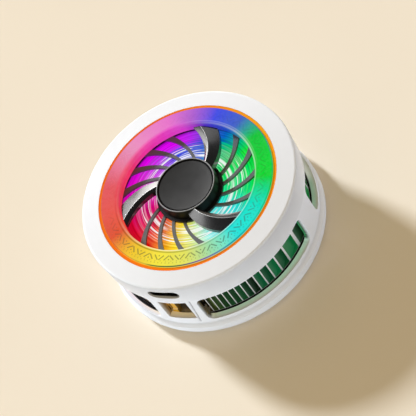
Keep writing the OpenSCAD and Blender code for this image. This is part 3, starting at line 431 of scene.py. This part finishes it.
def plate_streaks(name):
    """Turned plate in painted light: the lamps' colours and bright arcs as a glowing painted reflection, with a
    painted shadow near its rim.
    """
    g = Graph(name)
    flat = g.add("ShaderNodeVectorMath", {0: g.place(), 1: (1.0, 1.0, 0.0)}, operation="MULTIPLY").outputs[0]
    unit = g.add("ShaderNodeVectorMath", {0: flat}, operation="NORMALIZE").outputs[0]
    axes = g.add("ShaderNodeSeparateXYZ", {0: unit}).outputs
    far = g.times(g.radius(), 1.0 / MM)

    def arcs(along, across, detail=0.0):
        vector = g.add("ShaderNodeCombineXYZ", {0: g.times(axes["X"], along), 1: g.times(axes["Y"], along),
                                                2: g.times(far, across)})
        return g.noise(1.0, detail, vector.outputs[0], 0.55)

    # Painted reflection: bright white arcs
    broad = g.times(g.span(arcs(0.9, 0.9), 0.58, 0.66), 0.12)
    fine = g.times(g.span(arcs(1.1, 2.4), 0.615, 0.645), 0.85)
    hair = g.times(g.span(arcs(0.9, 5.0), 0.58, 0.66), 0.25)
    main = g.times(g.band(far, 12.1, 12.9, 0.2), g.span(arcs(1.1, 0.4), 0.42, 0.54, 0.0, 0.9))
    light = g.math("ADD", g.math("ADD", g.math("ADD", broad, fine), hair), main)
    white = g.times(g.math("MINIMUM", light, 1.0), g.band(far, 10.3, 16.6, 0.6))
    # Painted shadow near the plate's rim, under the ring
    shade = g.times(g.span(arcs(1.0, 2.2, 1.0), 0.32, 0.68, 0.68, 1.10), g.span(far, 20.9, 21.5, 1.0, 0.05))
    outwards = g.span(g.math("MULTIPLY_ADD", arcs(0.8, 1.8), 5.0, far), 18.6, 21.0)
    colour = g.mix(outwards, g.round_the_axis(PLATE_INNER), g.round_the_axis(PLATE_OUTER))
    lit = g.mix(g.times(white, 0.9), g.scaled(colour, shade), (1.0, 1.0, 1.0, 1.0))
    return g.finish(Base_Color=g.scaled(lit, 0.22), Metallic=0.35, Roughness=0.38,
                    Normal=g.bump(arcs(0.8, 9.0, 2.0), 0.12, 0.3 * MM), Emission_Color=lit, Emission_Strength=0.9)


def fin_metal(name, edge_r, root, top):
    """Bright fin edges with a painted highlight and painted shade towards the root, sides with a painted glow in the
    lamps' colours, and painted shade below the root.
    """
    g = Graph(name)
    place = g.add("ShaderNodeSeparateXYZ", {0: g.place()}).outputs
    edge = g.span(g.radius(), edge_r - 0.06 * MM, edge_r - 0.03 * MM)
    edge = g.math("MAXIMUM", edge, g.span(place["Z"], top - 0.06 * MM, top - 0.03 * MM))
    above = g.span(place["Z"], root - 0.05 * MM, root - 0.02 * MM)
    gap = g.math("FLOOR", g.math("DIVIDE", place["X"], FIN_PITCH))
    # Painted glow: each gap between fins gets a random share, less high up near the middle
    chance = g.add("ShaderNodeTexWhiteNoise", {"W": gap}, noise_dimensions="1D").outputs["Value"]
    up = g.span(place["Z"], root, top)
    middle = g.span(g.math("ABSOLUTE", place["X"]), 10.0 * MM, 17.0 * MM, 0.9, 0.1)
    shaded = g.math("SUBTRACT", 1.0, g.times(up, middle))
    share = g.times(g.span(chance, 0.2, 0.9, 0.02, 0.34), shaded)
    strength = g.times(share, above, g.math("SUBTRACT", 1.0, edge))
    # Painted highlight: the fin edges give off a little light
    strength = g.math("ADD", strength, g.times(edge, above, 0.2))
    glow = g.round_the_axis(GLOW_COLOURS)
    grain = g.noise(700.0, 3.0)
    # Painted shade: the edges grow darker towards the root
    bright = g.grey(g.times(g.span(grain, 0.25, 0.75, 0.84, 0.96), g.span(up, 0.0, 0.9, 0.45, 1.0)))
    # Painted shade and glow: the fin sides are dark, tinted by the glow
    side = g.scaled(g.mix(0.25, (0.05, 0.055, 0.055, 1.0), glow), g.span(grain, 0.3, 0.7, 0.8, 1.1))
    # Painted shade: near black below the fins' root
    colour = g.mix(above, (0.004, 0.004, 0.004, 1.0), g.mix(edge, side, bright))
    return g.finish(Base_Color=colour, Metallic=0.15, Roughness=g.span(grain, 0.2, 0.8, 0.36, 0.5),
                    Emission_Color=g.mix(edge, glow, bright), Emission_Strength=strength, Normal=g.bump(grain, 0.04))


def gloss_black(name, colour, roughness, mirror=0.5, coat=0.2, rim=None, hollow=None, tip=None, metal=0.0):
    """Glossy finish with a faint flow pattern, and if asked a painted highlight on the rim, a hollow face or a
    duller tip.
    """
    g = Graph(name)
    flow = g.noise(240.0, 3.0)
    shade = g.scaled((*colour, 1.0), g.span(flow, 0.2, 0.8, 0.9, 1.15))
    skin = g.times(g.noise(3800.0), 0.001 * MM)
    if rim is not None:
        # Painted highlight: a light grey line along the rim's top edge
        rim_highlight = g.span(g.height(), rim - 0.14 * MM, rim - 0.04 * MM)
        shade = g.mix(rim_highlight, shade, (0.34, 0.34, 0.34, 1.0))
    if hollow is not None:
        far = g.radius()
        skin = g.math("MULTIPLY_ADD", g.times(far, far), 0.5 / hollow, skin)
    if tip is not None:
        coat = g.span(g.radius(), BLADE_FADE_START, BLADE_FADE_END, coat, coat * tip)
    return g.finish(Base_Color=shade, Roughness=g.span(flow, 0.25, 0.75, roughness * 0.88, roughness * 1.15),
                    Normal=g.bump(skin, 1.0, 1.0), Specular_IOR_Level=mirror, Coat_Weight=coat,
                    Coat_Roughness=COAT_ROUGHNESS, Metallic=metal)


def vane_plastic(name, colour):
    """Grey plastic of the vanes, with painted shade that turns the ring round the hub black."""
    g = Graph(name)
    grey = g.scaled((*colour, 1.0), g.mottle(500.0, 0.94, 1.04))
    # Painted shade: black on the ring round the hub
    black = g.span(g.radius(), VANE_RING, VANE_RING + 0.5 * MM, 1.0, 0.0)
    return g.finish(Base_Color=g.mix(black, grey, (0.010, 0.010, 0.011, 1.0)), Roughness=g.uneven(0.36, 0.46),
                    Normal=g.bump(g.noise(4200.0), 0.02))


def dress(node, material):
    """Gives a CAD node one of the finishes made here."""
    slots = NODES[node].data.materials
    slots.clear()
    slots.append(material)


def new_piece(name, mesh, body):
    """Makes a scene piece that rides on a CAD body."""
    piece = bpy.data.objects.new(name, mesh)
    bpy.context.scene.collection.objects.link(piece)
    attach(piece, body)
    return piece


def rounded(outline, radius, steps=4):
    """Outline in the radius and height plane with its sharp corners rounded off."""
    result = []
    count = len(outline)
    for i, corner in enumerate(outline):
        here = Vector(corner)
        before = Vector(outline[i - 1]) - here
        after = Vector(outline[(i + 1) % count]) - here
        if here.x < 1e-6:
            result.append(here)
            continue
        reach = min(radius, before.length * 0.45, after.length * 0.45)
        start = here + before.normalized() * reach
        end = here + after.normalized() * reach
        for k in range(steps + 1):
            t = k / steps
            result.append(start * (1 - t) ** 2 + here * (2 * t * (1 - t)) + end * t ** 2)
    return result


def turn_outline(bm, outline, segments):
    """Turns a closed outline about the axis into a closed shell."""
    rings = []
    for point in outline:
        if point.x < 1e-6:
            rings.append([bm.verts.new((0.0, 0.0, point.y))])
            continue
        angles = (math.tau * k / segments for k in range(segments))
        rings.append([bm.verts.new((point.x * math.cos(a), point.x * math.sin(a), point.y)) for a in angles])
    for i, low in enumerate(rings):
        high = rings[(i + 1) % len(rings)]
        for k in range(segments):
            following = (k + 1) % segments
            corners = [low[k % len(low)], low[following % len(low)],
                       high[following % len(high)], high[k % len(high)]]
            unique = list(dict.fromkeys(corners))
            if len(unique) > 2:
                bm.faces.new(unique)


def loft(bm, sections):
    """Joins closed sections of equal length into one closed shell, and gives back its strips and ends."""
    rows = [[bm.verts.new(point) for point in section] for section in sections]
    count = len(rows[0])
    strips = []
    for k in range(count):
        following = (k + 1) % count
        strips.append([bm.faces.new((low[k], low[following], high[following], high[k]))
                       for low, high in zip(rows, rows[1:])])
    half = count // 2
    strips.append([bm.faces.new((row[k], row[k + 1], row[count - 2 - k], row[count - 1 - k]))
                   for row in (rows[0], rows[-1]) for k in range(half - 1)])
    return strips


def to_mesh(bm, name, sharp_degrees, *materials):
    """Closes a bmesh into a smooth shaded mesh with sharp edges kept."""
    bmesh.ops.recalc_face_normals(bm, faces=bm.faces[:])
    mesh = bpy.data.meshes.new(name)
    bm.to_mesh(mesh)
    bm.free()
    mesh.polygons.foreach_set("use_smooth", [True] * len(mesh.polygons))
    mesh.set_sharp_from_angle(angle=math.radians(sharp_degrees))
    for material in materials:
        mesh.materials.append(material)
    return mesh


def group_inputs(tree, values):
    """Adds named inputs and the output to a geometry tree."""
    for label, (value, kind) in values.items():
        socket = tree.interface.new_socket(name=label, in_out="INPUT", socket_type=kind)
        if kind != "NodeSocketMaterial":
            socket.default_value = value
    tree.interface.new_socket(name="Geometry", in_out="OUTPUT", socket_type="NodeSocketGeometry")
    return tree.nodes.new("NodeGroupInput").outputs


def close_tree(tree, geometry, material):
    """Ends a geometry tree in real and finished faces."""
    real = tree.nodes.new("GeometryNodeRealizeInstances")
    finish = tree.nodes.new("GeometryNodeSetMaterial")
    out = tree.nodes.new("NodeGroupOutput")
    tree.links.new(geometry, real.inputs[0])
    tree.links.new(real.outputs[0], finish.inputs["Geometry"])
    tree.links.new(material, finish.inputs["Material"])
    tree.links.new(finish.outputs[0], out.inputs["Geometry"])


def from_tree(name, tree, values):
    """Runs a geometry tree once and gives back its result as a plain mesh."""
    holder = bpy.data.objects.new(name + "_maker", bpy.data.meshes.new(name + "_maker"))
    bpy.context.scene.collection.objects.link(holder)
    modifier = holder.modifiers.new("shape", "NODES")
    modifier.node_group = tree
    for item in tree.interface.items_tree:
        if item.in_out == "INPUT":
            modifier[item.identifier] = values[item.name][0]
    bpy.context.view_layer.update()
    depsgraph = bpy.context.evaluated_depsgraph_get()
    mesh = bpy.data.meshes.new_from_object(holder.evaluated_get(depsgraph))
    mesh.name = name
    bpy.data.objects.remove(holder)
    return mesh


class FanColours(bpy.types.PropertyGroup):
    """Colours of the fan's finishes."""

    case: bpy.props.FloatVectorProperty(
        name="Case", description="White of the two case halves", subtype="COLOR", default=(0.935, 0.935, 0.935))
    trim: bpy.props.FloatVectorProperty(
        name="Trim tint", description="Tint of the orange ring", subtype="COLOR", default=(1.0, 1.0, 1.0))
    rotor: bpy.props.FloatVectorProperty(
        name="Rotor", description="Hub and wide blades", subtype="COLOR", default=(0.010, 0.010, 0.011))
    vanes: bpy.props.FloatVectorProperty(
        name="Vanes", description="Thin swept vanes", subtype="COLOR", default=(0.145, 0.145, 0.148))
    floor: bpy.props.FloatVectorProperty(
        name="Floor", description="Pale floor under the fan", subtype="COLOR", default=(0.945, 0.825, 0.645))


class FanSizes(bpy.types.PropertyGroup):
    """Sizes of the pieces that are added to the CAD model."""

    blade_turn: bpy.props.FloatProperty(
        name="Blade sweep", description="Turn of a blade in degrees for each millimetre outwards", default=2.7)
    blade_width: bpy.props.FloatProperty(
        name="Blade width", description="Width of a blade", subtype="ANGLE", default=math.radians(22.0))
    blade_az: bpy.props.FloatProperty(
        name="Blade direction", description="Leading edge of the first blade's tip", subtype="ANGLE",
        default=math.radians(100.0))
    band_pairs: bpy.props.IntProperty(
        name="Zigzag pairs", description="Pairs of open teeth on the light ring", default=23, min=12, max=60)
    band_line: bpy.props.FloatProperty(
        name="Band line", description="Width of the band's strokes", unit="LENGTH", precision=5, default=0.36 * MM)
    band_slant: bpy.props.FloatProperty(
        name="Stroke slant", description="Slant of the band's strokes", subtype="ANGLE",
        default=math.radians(42.0))


class FanStage(bpy.types.PropertyGroup):
    """Light and view of the studio."""

    sun_turn: bpy.props.FloatProperty(
        name="Key direction", description="Where the key light stands", subtype="ANGLE",
        default=math.radians(152.0))
    sun_height: bpy.props.FloatProperty(
        name="Key height", description="Key light's angle above the floor", subtype="ANGLE",
        default=math.radians(28.0))
    sun_level: bpy.props.FloatProperty(
        name="Key level", description="Strength of the key light", default=3.8)
    sky_level: bpy.props.FloatProperty(
        name="Sky level", description="Strength of the soft light all round", default=0.44)
    lens: bpy.props.FloatProperty(
        name="Lens", description="Focal length of the camera", unit="CAMERA", default=155.77)


class FAN_OT_stage(bpy.types.Operator):
    """Floor, lights, sky and the camera at the photo's view"""

    bl_idname = "coolingfan.stage"
    bl_label = "Stage"

    def execute(self, context):
        scene = context.scene
        stage = scene.fan_stage
        scene.view_settings.view_transform = "Standard"
        self.floor(scene.fan_colours.floor)
        self.sky(scene, stage.sky_level, scene.fan_colours.floor)
        self.lamps(stage)
        camera = bpy.data.cameras.new("camera")
        camera.lens = stage.lens
        camera.sensor_width = SENSOR_WIDTH
        camera.clip_start = CLIP_START
        view = bpy.data.objects.new("camera", camera)
        turn = Matrix((CAMERA_RIGHT, CAMERA_BACK.cross(CAMERA_RIGHT), CAMERA_BACK)).transposed()
        view.matrix_world = Matrix.Translation(CAMERA_PLACE) @ turn.to_4x4()
        scene.collection.objects.link(view)
        scene.camera = view
        return {"FINISHED"}

    def floor(self, colour):
        g = Graph("floor_paper")
        shade = g.scaled((*colour, 1.0), g.span(g.noise(6.0, 3.0), 0.3, 0.7, 0.985, 1.01))
        rays = g.add("ShaderNodeLightPath").outputs
        seen = g.math("MAXIMUM", rays["Is Camera Ray"], rays["Is Glossy Ray"])
        seen = g.math("MAXIMUM", seen, rays["Is Transmission Ray"])
        paper = g.finish(Base_Color=g.mix(seen, FLOOR_BOUNCE, shade), Roughness=0.85, Specular_IOR_Level=0.1)
        bm = bmesh.new()
        bmesh.ops.create_circle(bm, cap_ends=True, radius=FLOOR_RADIUS, segments=96)
        sheet = bpy.data.objects.new("floor", to_mesh(bm, "floor", FLOOR_SHARP, paper))
        bpy.context.scene.collection.objects.link(sheet)

    def sky(self, scene, level, floor_colour):
        world = bpy.data.worlds.new("sky")
        world.use_nodes = True
        made, join = world.node_tree.nodes.new, world.node_tree.links.new
        world.node_tree.nodes.clear()
        soft = made("ShaderNodeBackground")
        soft.inputs["Color"].default_value = SKY_COLOUR
        soft.inputs["Strength"].default_value = level
        path = made("ShaderNodeLightPath")
        rays = path.outputs["Is Camera Ray"]
        for kind in ("Is Glossy Ray", "Is Transmission Ray"):
            either = made("ShaderNodeMath")
            either.operation = "MAXIMUM"
            join(rays, either.inputs[0])
            join(path.outputs[kind], either.inputs[1])
            rays = either.outputs[0]
        way = made("ShaderNodeTexCoord")
        split = made("ShaderNodeSeparateXYZ")
        join(way.outputs["Generated"], split.inputs[0])
        fade = made("ShaderNodeValToRGB")
        join(split.outputs["Z"], fade.inputs["Fac"])
        low, high = fade.color_ramp.elements
        low.position, low.color = 0.1, (*floor_colour, 1.0)
        high.position, high.color = 0.6, SKY_TOP
        seen = made("ShaderNodeBackground")
        join(fade.outputs["Color"], seen.inputs["Color"])
        seen.inputs["Strength"].default_value = 1.0
        pick = made("ShaderNodeMixShader")
        join(rays, pick.inputs[0])
        join(soft.outputs[0], pick.inputs[1])
        join(seen.outputs[0], pick.inputs[2])
        join(pick.outputs[0], made("ShaderNodeOutputWorld").inputs["Surface"])
        scene.world = world

    def lamps(self, stage):
        key = bpy.data.lights.new("key", "SUN")
        key.energy = stage.sun_level
        key.angle = KEY_SPREAD
        key.color = KEY_COLOUR
        place = self.towards(stage.sun_turn, stage.sun_height) * KEY_FAR
        self.lamp(key, place).visible_glossy = False
        for name, turn, rise, wide, tall, watts in CARDS:
            place = self.towards(math.radians(turn), math.radians(rise)) * CARD_FAR
            self.panel(name, place, wide, tall, watts).visible_diffuse = False
        for name, turn, rise, watts, colour in FILLS:
            place = self.towards(math.radians(turn), math.radians(rise)) * FILL_FAR
            fill = self.panel(name, place, FILL_WIDE, FILL_TALL, watts)
            fill.data.color = colour
            fill.visible_glossy = False

    def towards(self, turn, rise):
        return Vector((math.cos(rise) * math.cos(turn), math.cos(rise) * math.sin(turn), math.sin(rise)))

    def panel(self, name, place, wide, tall, watts):
        light = bpy.data.lights.new(name, "AREA")
        light.shape = "RECTANGLE"
        light.size = wide
        light.size_y = tall
        light.energy = watts
        return self.lamp(light, place)

    def lamp(self, data, place):
        lamp = bpy.data.objects.new(data.name, data)
        lamp.location = place
        lamp.rotation_mode = "QUATERNION"
        lamp.rotation_quaternion = (-place).to_track_quat("-Z", "Y")
        bpy.context.scene.collection.objects.link(lamp)
        return lamp


class FAN_OT_case(bpy.types.Operator):
    """White case halves, trim ring and the pieces on the phone side"""

    bl_idname = "coolingfan.case"
    bl_label = "Case"

    def execute(self, context):
        colours = context.scene.fan_colours
        white = tuple(colours.case)
        low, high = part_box("top_cover")
        dress("base_shell", case_white("base_white", white, low.z))
        dress("top_cover", cover_white("cover_white", white, low.z, high.z - BEZEL_EDGE))
        dress("trim_ring", trim_paint_and_glow("trim_orange", tuple(colours.trim)))
        dress("face_pad", moulded_plastic("pad_silicone", (0.55, 0.55, 0.55), 0.62, 0.08))
        dress("cooling_plate", turned_metal("plate_satin", (0.74, 0.75, 0.76), 0.32, (0.06, 1.0, 1.0), 1400.0))
        return {"FINISHED"}


class FAN_OT_light_ring(bpy.types.Operator):
    """Lit ring with its zigzag band and dots"""

    bl_idname = "coolingfan.light_ring"
    bl_label = "Light ring"

    def execute(self, context):
        sizes = context.scene.fan_sizes
        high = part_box("light_ring")[1]
        inner = high.x - RING_WIDTH
        dress("light_ring", ring_light("ring_glow", inner, high.x, high.z))
        dress("lamp_board", moulded_plastic("board_green", (0.02, 0.12, 0.05), 0.4, 0.05))
        dress("lamps", moulded_plastic("lamp_clear", (0.85, 0.82, 0.62), 0.2, 0.01, 0.4))
        strong, faint = ornament_shade("band_strokes", 1.0), ornament_shade("band_dots", 0.6)
        line, slant, pairs = sizes.band_line, sizes.band_slant, sizes.band_pairs
        thin = line * TICK_SHARE
        for name, out, length, width, lean, shade, count, shift in (
                ("zigzag_band", ZIGZAG_OUT, ZIGZAG_LENGTH, line, slant, strong, pairs * 4, -0.69),
                ("inner_dots", INNER_DOTS_OUT, line, line, 0.0, strong, pairs, -0.0475),
                ("outer_dots", OUTER_DOTS_OUT, line, line, 0.0, strong, pairs, 0.4525),
                ("tick_band", TICKS_OUT, line, thin, 0.0, faint, pairs * 4, 0.31),
                ("outer_ticks", OUTER_TICKS_OUT, line * 1.2, thin, 0.0, faint, pairs * 6, 0.0)):
            values = {"Count": (count, "NodeSocketInt"), "Radius": (inner + out, "NodeSocketFloat"),
                      "Length": (length, "NodeSocketFloat"), "Line width": (width, "NodeSocketFloat"),
                      "Slant": (lean, "NodeSocketFloat"), "Level": (high.z, "NodeSocketFloat"),
                      "Shift": (shift * math.tau / count, "NodeSocketFloat"),
                      "Material": (shade, "NodeSocketMaterial")}
            new_piece(name, from_tree(name, self.strokes(values), values), "housing")
        return {"FINISHED"}

    def strokes(self, values):
        tree = bpy.data.node_groups.new("Band strokes", "GeometryNodeTree")
        made, join = tree.nodes.new, tree.links.new
        entry = group_inputs(tree, values)

        def sum_of(operation, first, second):
            node = made("ShaderNodeMath")
            node.operation = operation
            for socket, value in zip(node.inputs, (first, second)):
                if isinstance(value, bpy.types.NodeSocket):
                    join(value, socket)
                else:
                    socket.default_value = value
            return node.outputs[0]

        def upright(value):
            vector = made("ShaderNodeCombineXYZ")
            join(value, vector.inputs["Z"])
            return vector.outputs[0]

        size = made("ShaderNodeCombineXYZ")
        join(entry["Length"], size.inputs["X"])
        join(entry["Line width"], size.inputs["Y"])
        size.inputs["Z"].default_value = STROKE_HEIGHT
        bar = made("GeometryNodeMeshCube")
        join(size.outputs[0], bar.inputs["Size"])
        circle = made("GeometryNodeMeshCircle")
        join(entry["Count"], circle.inputs["Vertices"])
        join(entry["Radius"], circle.inputs["Radius"])
        placed = made("GeometryNodeTransform")
        join(circle.outputs[0], placed.inputs["Geometry"])
        join(upright(entry["Level"]), placed.inputs["Translation"])
        join(upright(entry["Shift"]), placed.inputs["Rotation"])
        index = made("GeometryNodeInputIndex").outputs[0]
        step = sum_of("DIVIDE", math.tau, entry["Count"])
        azimuth = sum_of("ADD", sum_of("MULTIPLY", index, step), entry["Shift"])
        pair = sum_of("FLOOR", sum_of("MULTIPLY", sum_of("ADD", index, 1.0), 0.5), 0.0)
        side = sum_of("SUBTRACT", 1.0, sum_of("MULTIPLY", sum_of("MODULO", pair, 2.0), 2.0))
        angle = sum_of("ADD", azimuth, sum_of("MULTIPLY", side, entry["Slant"]))
        spread = made("GeometryNodeInstanceOnPoints")
        join(placed.outputs[0], spread.inputs["Points"])
        join(bar.outputs[0], spread.inputs["Instance"])
        join(upright(angle), spread.inputs["Rotation"])
        close_tree(tree, spread.outputs[0], entry["Material"])
        return tree


class FAN_OT_rotor(bpy.types.Operator):
    """Smooth hub with its wide blades, and finishes of the turning pieces"""

    bl_idname = "coolingfan.rotor"
    bl_label = "Rotor"

    def execute(self, context):
        colours = context.scene.fan_colours
        sizes = context.scene.fan_sizes
        rotor = tuple(colours.rotor)
        black = gloss_black("rotor_black", rotor, 0.34, mirror=0.1, coat=0.0, rim=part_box("impeller")[1].z)
        polished = gloss_black("blade_black", rotor, 0.22, mirror=1.0, coat=1.0, tip=0.3)
        # Painted highlight: the blades' crest is a pale metal strip
        crest = gloss_black("blade_crest", (0.86, 0.86, 0.86), 0.30, metal=0.8)
        bm = bmesh.new()
        self.hub(bm)
        for i in range(BLADES):
            self.blade(bm, sizes, sizes.blade_az + math.tau * i / BLADES)
        mesh = to_mesh(bm, "rotor_hub_and_blades", BLADE_SHARP, black, polished, crest)
        piece = new_piece("rotor_hub_and_blades", mesh, "rotor")
        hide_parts("impeller")
        dress("impeller", black)
        dress("vane_wheel", vane_plastic("vane_grey", tuple(colours.vanes)))
        dress("hub_cap", gloss_black("cap_grey", (0.034, 0.034, 0.034), 0.34, coat=0.0, hollow=CAP_HOLLOW))
        steel = turned_metal("rotor_steel", (0.55, 0.55, 0.56), 0.3)
        dress("rotor_yoke", steel)
        dress("shaft", steel)
        dress("rotor_magnet", moulded_plastic("ferrite", (0.10, 0.10, 0.105), 0.55, 0.06))
        return {"FINISHED"}

    def hub(self, bm):
        low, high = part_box("impeller")
        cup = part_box("rotor_yoke")[1]
        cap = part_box("hub_cap")[0]
        outline = [(0.0, cup.z), (cup.x, cup.z), (cup.x, low.z), (HUB_FOOT, low.z), (HUB_FOOT, low.z + HUB_STEP),
                   (HUB_TOP, high.z - HUB_EDGE), (HUB_TOP - HUB_EDGE, high.z), (HUB_TOP - HUB_RIM, high.z),
                   (HUB_TOP - HUB_RIM, cap.z), (0.0, cap.z)]
        turn_outline(bm, rounded(outline, HUB_ROUNDING), HUB_SEGMENTS)

    def blade(self, bm, sizes, direction):
        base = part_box("vane_wheel")[1].z + BLADE_GAP
        sections = []
        for i in range(BLADE_STEPS + 1):
            t = i / BLADE_STEPS
            r = BLADE_ROOT + (BLADE_TIP - BLADE_ROOT) * t
            low = base + BLADE_LIFT * t
            tall = ROOT_HEIGHT + (TIP_HEIGHT - ROOT_HEIGHT) * t
            lead = direction - math.radians(sizes.blade_turn) * (BLADE_TIP - r) / MM
            half = CREST_HALF / (r * sizes.blade_width)
            shares = [(CREST - half) * j / RISE_STEPS for j in range(RISE_STEPS + 1)] + [CREST]
            shares += [CREST + half + (1 - CREST - half) * j / FALL_STEPS for j in range(FALL_STEPS + 1)]
            upper, under = [], []
            for u in shares:
                if u < CREST:
                    share = 1 - RISE * (1 - u / CREST)
                else:
                    share = 1 - FALL * ((u - CREST) / (1 - CREST)) ** FALL_BEND
                a = lead - sizes.blade_width * (1 - u)
                x, y = r * math.cos(a), r * math.sin(a)
                upper.append((x, y, low + share * tall))
                under.append((x, y, low + UNDER_RISE * math.sin(math.pi / 2 * u) * tall))
            sections.append(upper + under[::-1])
        for k, strip in enumerate(loft(bm, sections)):
            for face in strip:
                # The crest's strips take the painted highlight
                face.material_index = 2 if k in (RISE_STEPS, RISE_STEPS + 1) else 1


class FAN_OT_fan_plate(bpy.types.Operator):
    """Turned plate under the fan, with the bearing and the stator"""

    bl_idname = "coolingfan.fan_plate"
    bl_label = "Fan plate and motor"

    def execute(self, context):
        dress("fan_plate", plate_streaks("plate_rainbow"))
        dress("bearing_tube", turned_metal("tube_brass", (0.72, 0.50, 0.18), 0.28))
        dress("bearing_bush", turned_metal("bush_bronze", (0.50, 0.32, 0.15), 0.42))
        dress("thrust_pad", moulded_plastic("pad_white", (0.82, 0.80, 0.72), 0.45))
        dress("stator_core", turned_metal("core_steel", (0.30, 0.30, 0.31), 0.4, (1.0, 1.0, 12.0)))
        dress("stator_coils", turned_metal("coil_copper", (0.62, 0.22, 0.08), 0.3, (1.0, 1.0, 0.15), 2200.0, 0.3))
        dress("motor_board", moulded_plastic("motor_green", (0.02, 0.12, 0.05), 0.4, 0.05))
        return {"FINISHED"}


class FAN_OT_heat_sink(bpy.types.Operator):
    """Fins, thermoelectric cell and magnets"""

    bl_idname = "coolingfan.heat_sink"
    bl_label = "Heat sink and cell"

    def execute(self, context):
        low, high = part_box("heat_sink")
        dress("heat_sink", fin_metal("fins", high.y, low.z + FIN_FLOOR, high.z))
        ceramic = moulded_plastic("ceramic_white", (0.82, 0.82, 0.79), 0.5, 0.05)
        dress("hot_plate", ceramic)
        dress("cold_side_plate", ceramic)
        dress("cell_legs", turned_metal("leg_metal", (0.32, 0.32, 0.33), 0.5))
        dress("cell_gasket", moulded_plastic("foam_dark", (0.045, 0.045, 0.05), 0.85, 0.3))
        dress("cell_leads", moulded_plastic("lead_black", (0.03, 0.03, 0.032), 0.45))
        nickel = turned_metal("nickel", (0.55, 0.54, 0.52), 0.22)
        dress("magnets", nickel)
        dress("magnet_shield", turned_metal("shield_steel", (0.45, 0.45, 0.46), 0.38))
        dress("case_screws", nickel)
        return {"FINISHED"}


class FAN_OT_socket(bpy.types.Operator):
    """Power socket and the control board behind it"""

    bl_idname = "coolingfan.socket"
    bl_label = "Socket and board"

    def execute(self, context):
        dress("socket_shell", turned_metal("socket_dark", (0.10, 0.10, 0.11), 0.25))
        dress("socket_tongue", moulded_plastic("tongue_black", (0.012, 0.012, 0.013), 0.5))
        dress("socket_contacts", turned_metal("contact_gold", (0.80, 0.55, 0.18), 0.2))
        dress("control_board", moulded_plastic("board_mask", (0.02, 0.12, 0.05), 0.38, 0.05))
        dress("control_chip", moulded_plastic("chip_black", (0.015, 0.015, 0.016), 0.55, 0.05))
        dress("choke", moulded_plastic("choke_grey", (0.12, 0.12, 0.125), 0.6, 0.08))
        return {"FINISHED"}


class FAN_PT_panel(bpy.types.Panel):
    """Lists the fan's pieces in the sidebar"""

    bl_idname = "FAN_PT_panel"
    bl_label = "Cooling fan"
    bl_space_type = "VIEW_3D"
    bl_region_type = "UI"
    bl_category = "Cooling fan"

    def draw(self, context):
        for operator in OPERATORS:
            self.layout.operator(operator.bl_idname)
        for group in (context.scene.fan_colours, context.scene.fan_sizes, context.scene.fan_stage):
            box = self.layout.box()
            for name in group.bl_rna.properties.keys():
                if name not in ("name", "rna_type"):
                    box.prop(group, name)


OPERATORS = (FAN_OT_stage, FAN_OT_case, FAN_OT_light_ring, FAN_OT_rotor, FAN_OT_fan_plate, FAN_OT_heat_sink,
             FAN_OT_socket)
GROUPS = {"fan_colours": FanColours, "fan_sizes": FanSizes, "fan_stage": FanStage}


def register():
    for name, group in GROUPS.items():
        bpy.utils.register_class(group)
        setattr(bpy.types.Scene, name, bpy.props.PointerProperty(type=group))
    for item in OPERATORS + (FAN_PT_panel,):
        bpy.utils.register_class(item)


def unregister():
    for item in reversed(OPERATORS + (FAN_PT_panel,)):
        bpy.utils.unregister_class(item)
    for name, group in GROUPS.items():
        delattr(bpy.types.Scene, name)
        bpy.utils.unregister_class(group)


def main():
    register()
    bpy.ops.coolingfan.stage()
    bpy.ops.coolingfan.case()
    bpy.ops.coolingfan.light_ring()
    bpy.ops.coolingfan.rotor()
    bpy.ops.coolingfan.fan_plate()
    bpy.ops.coolingfan.heat_sink()
    bpy.ops.coolingfan.socket()
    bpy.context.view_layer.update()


if __name__ == "__main__":
    main()
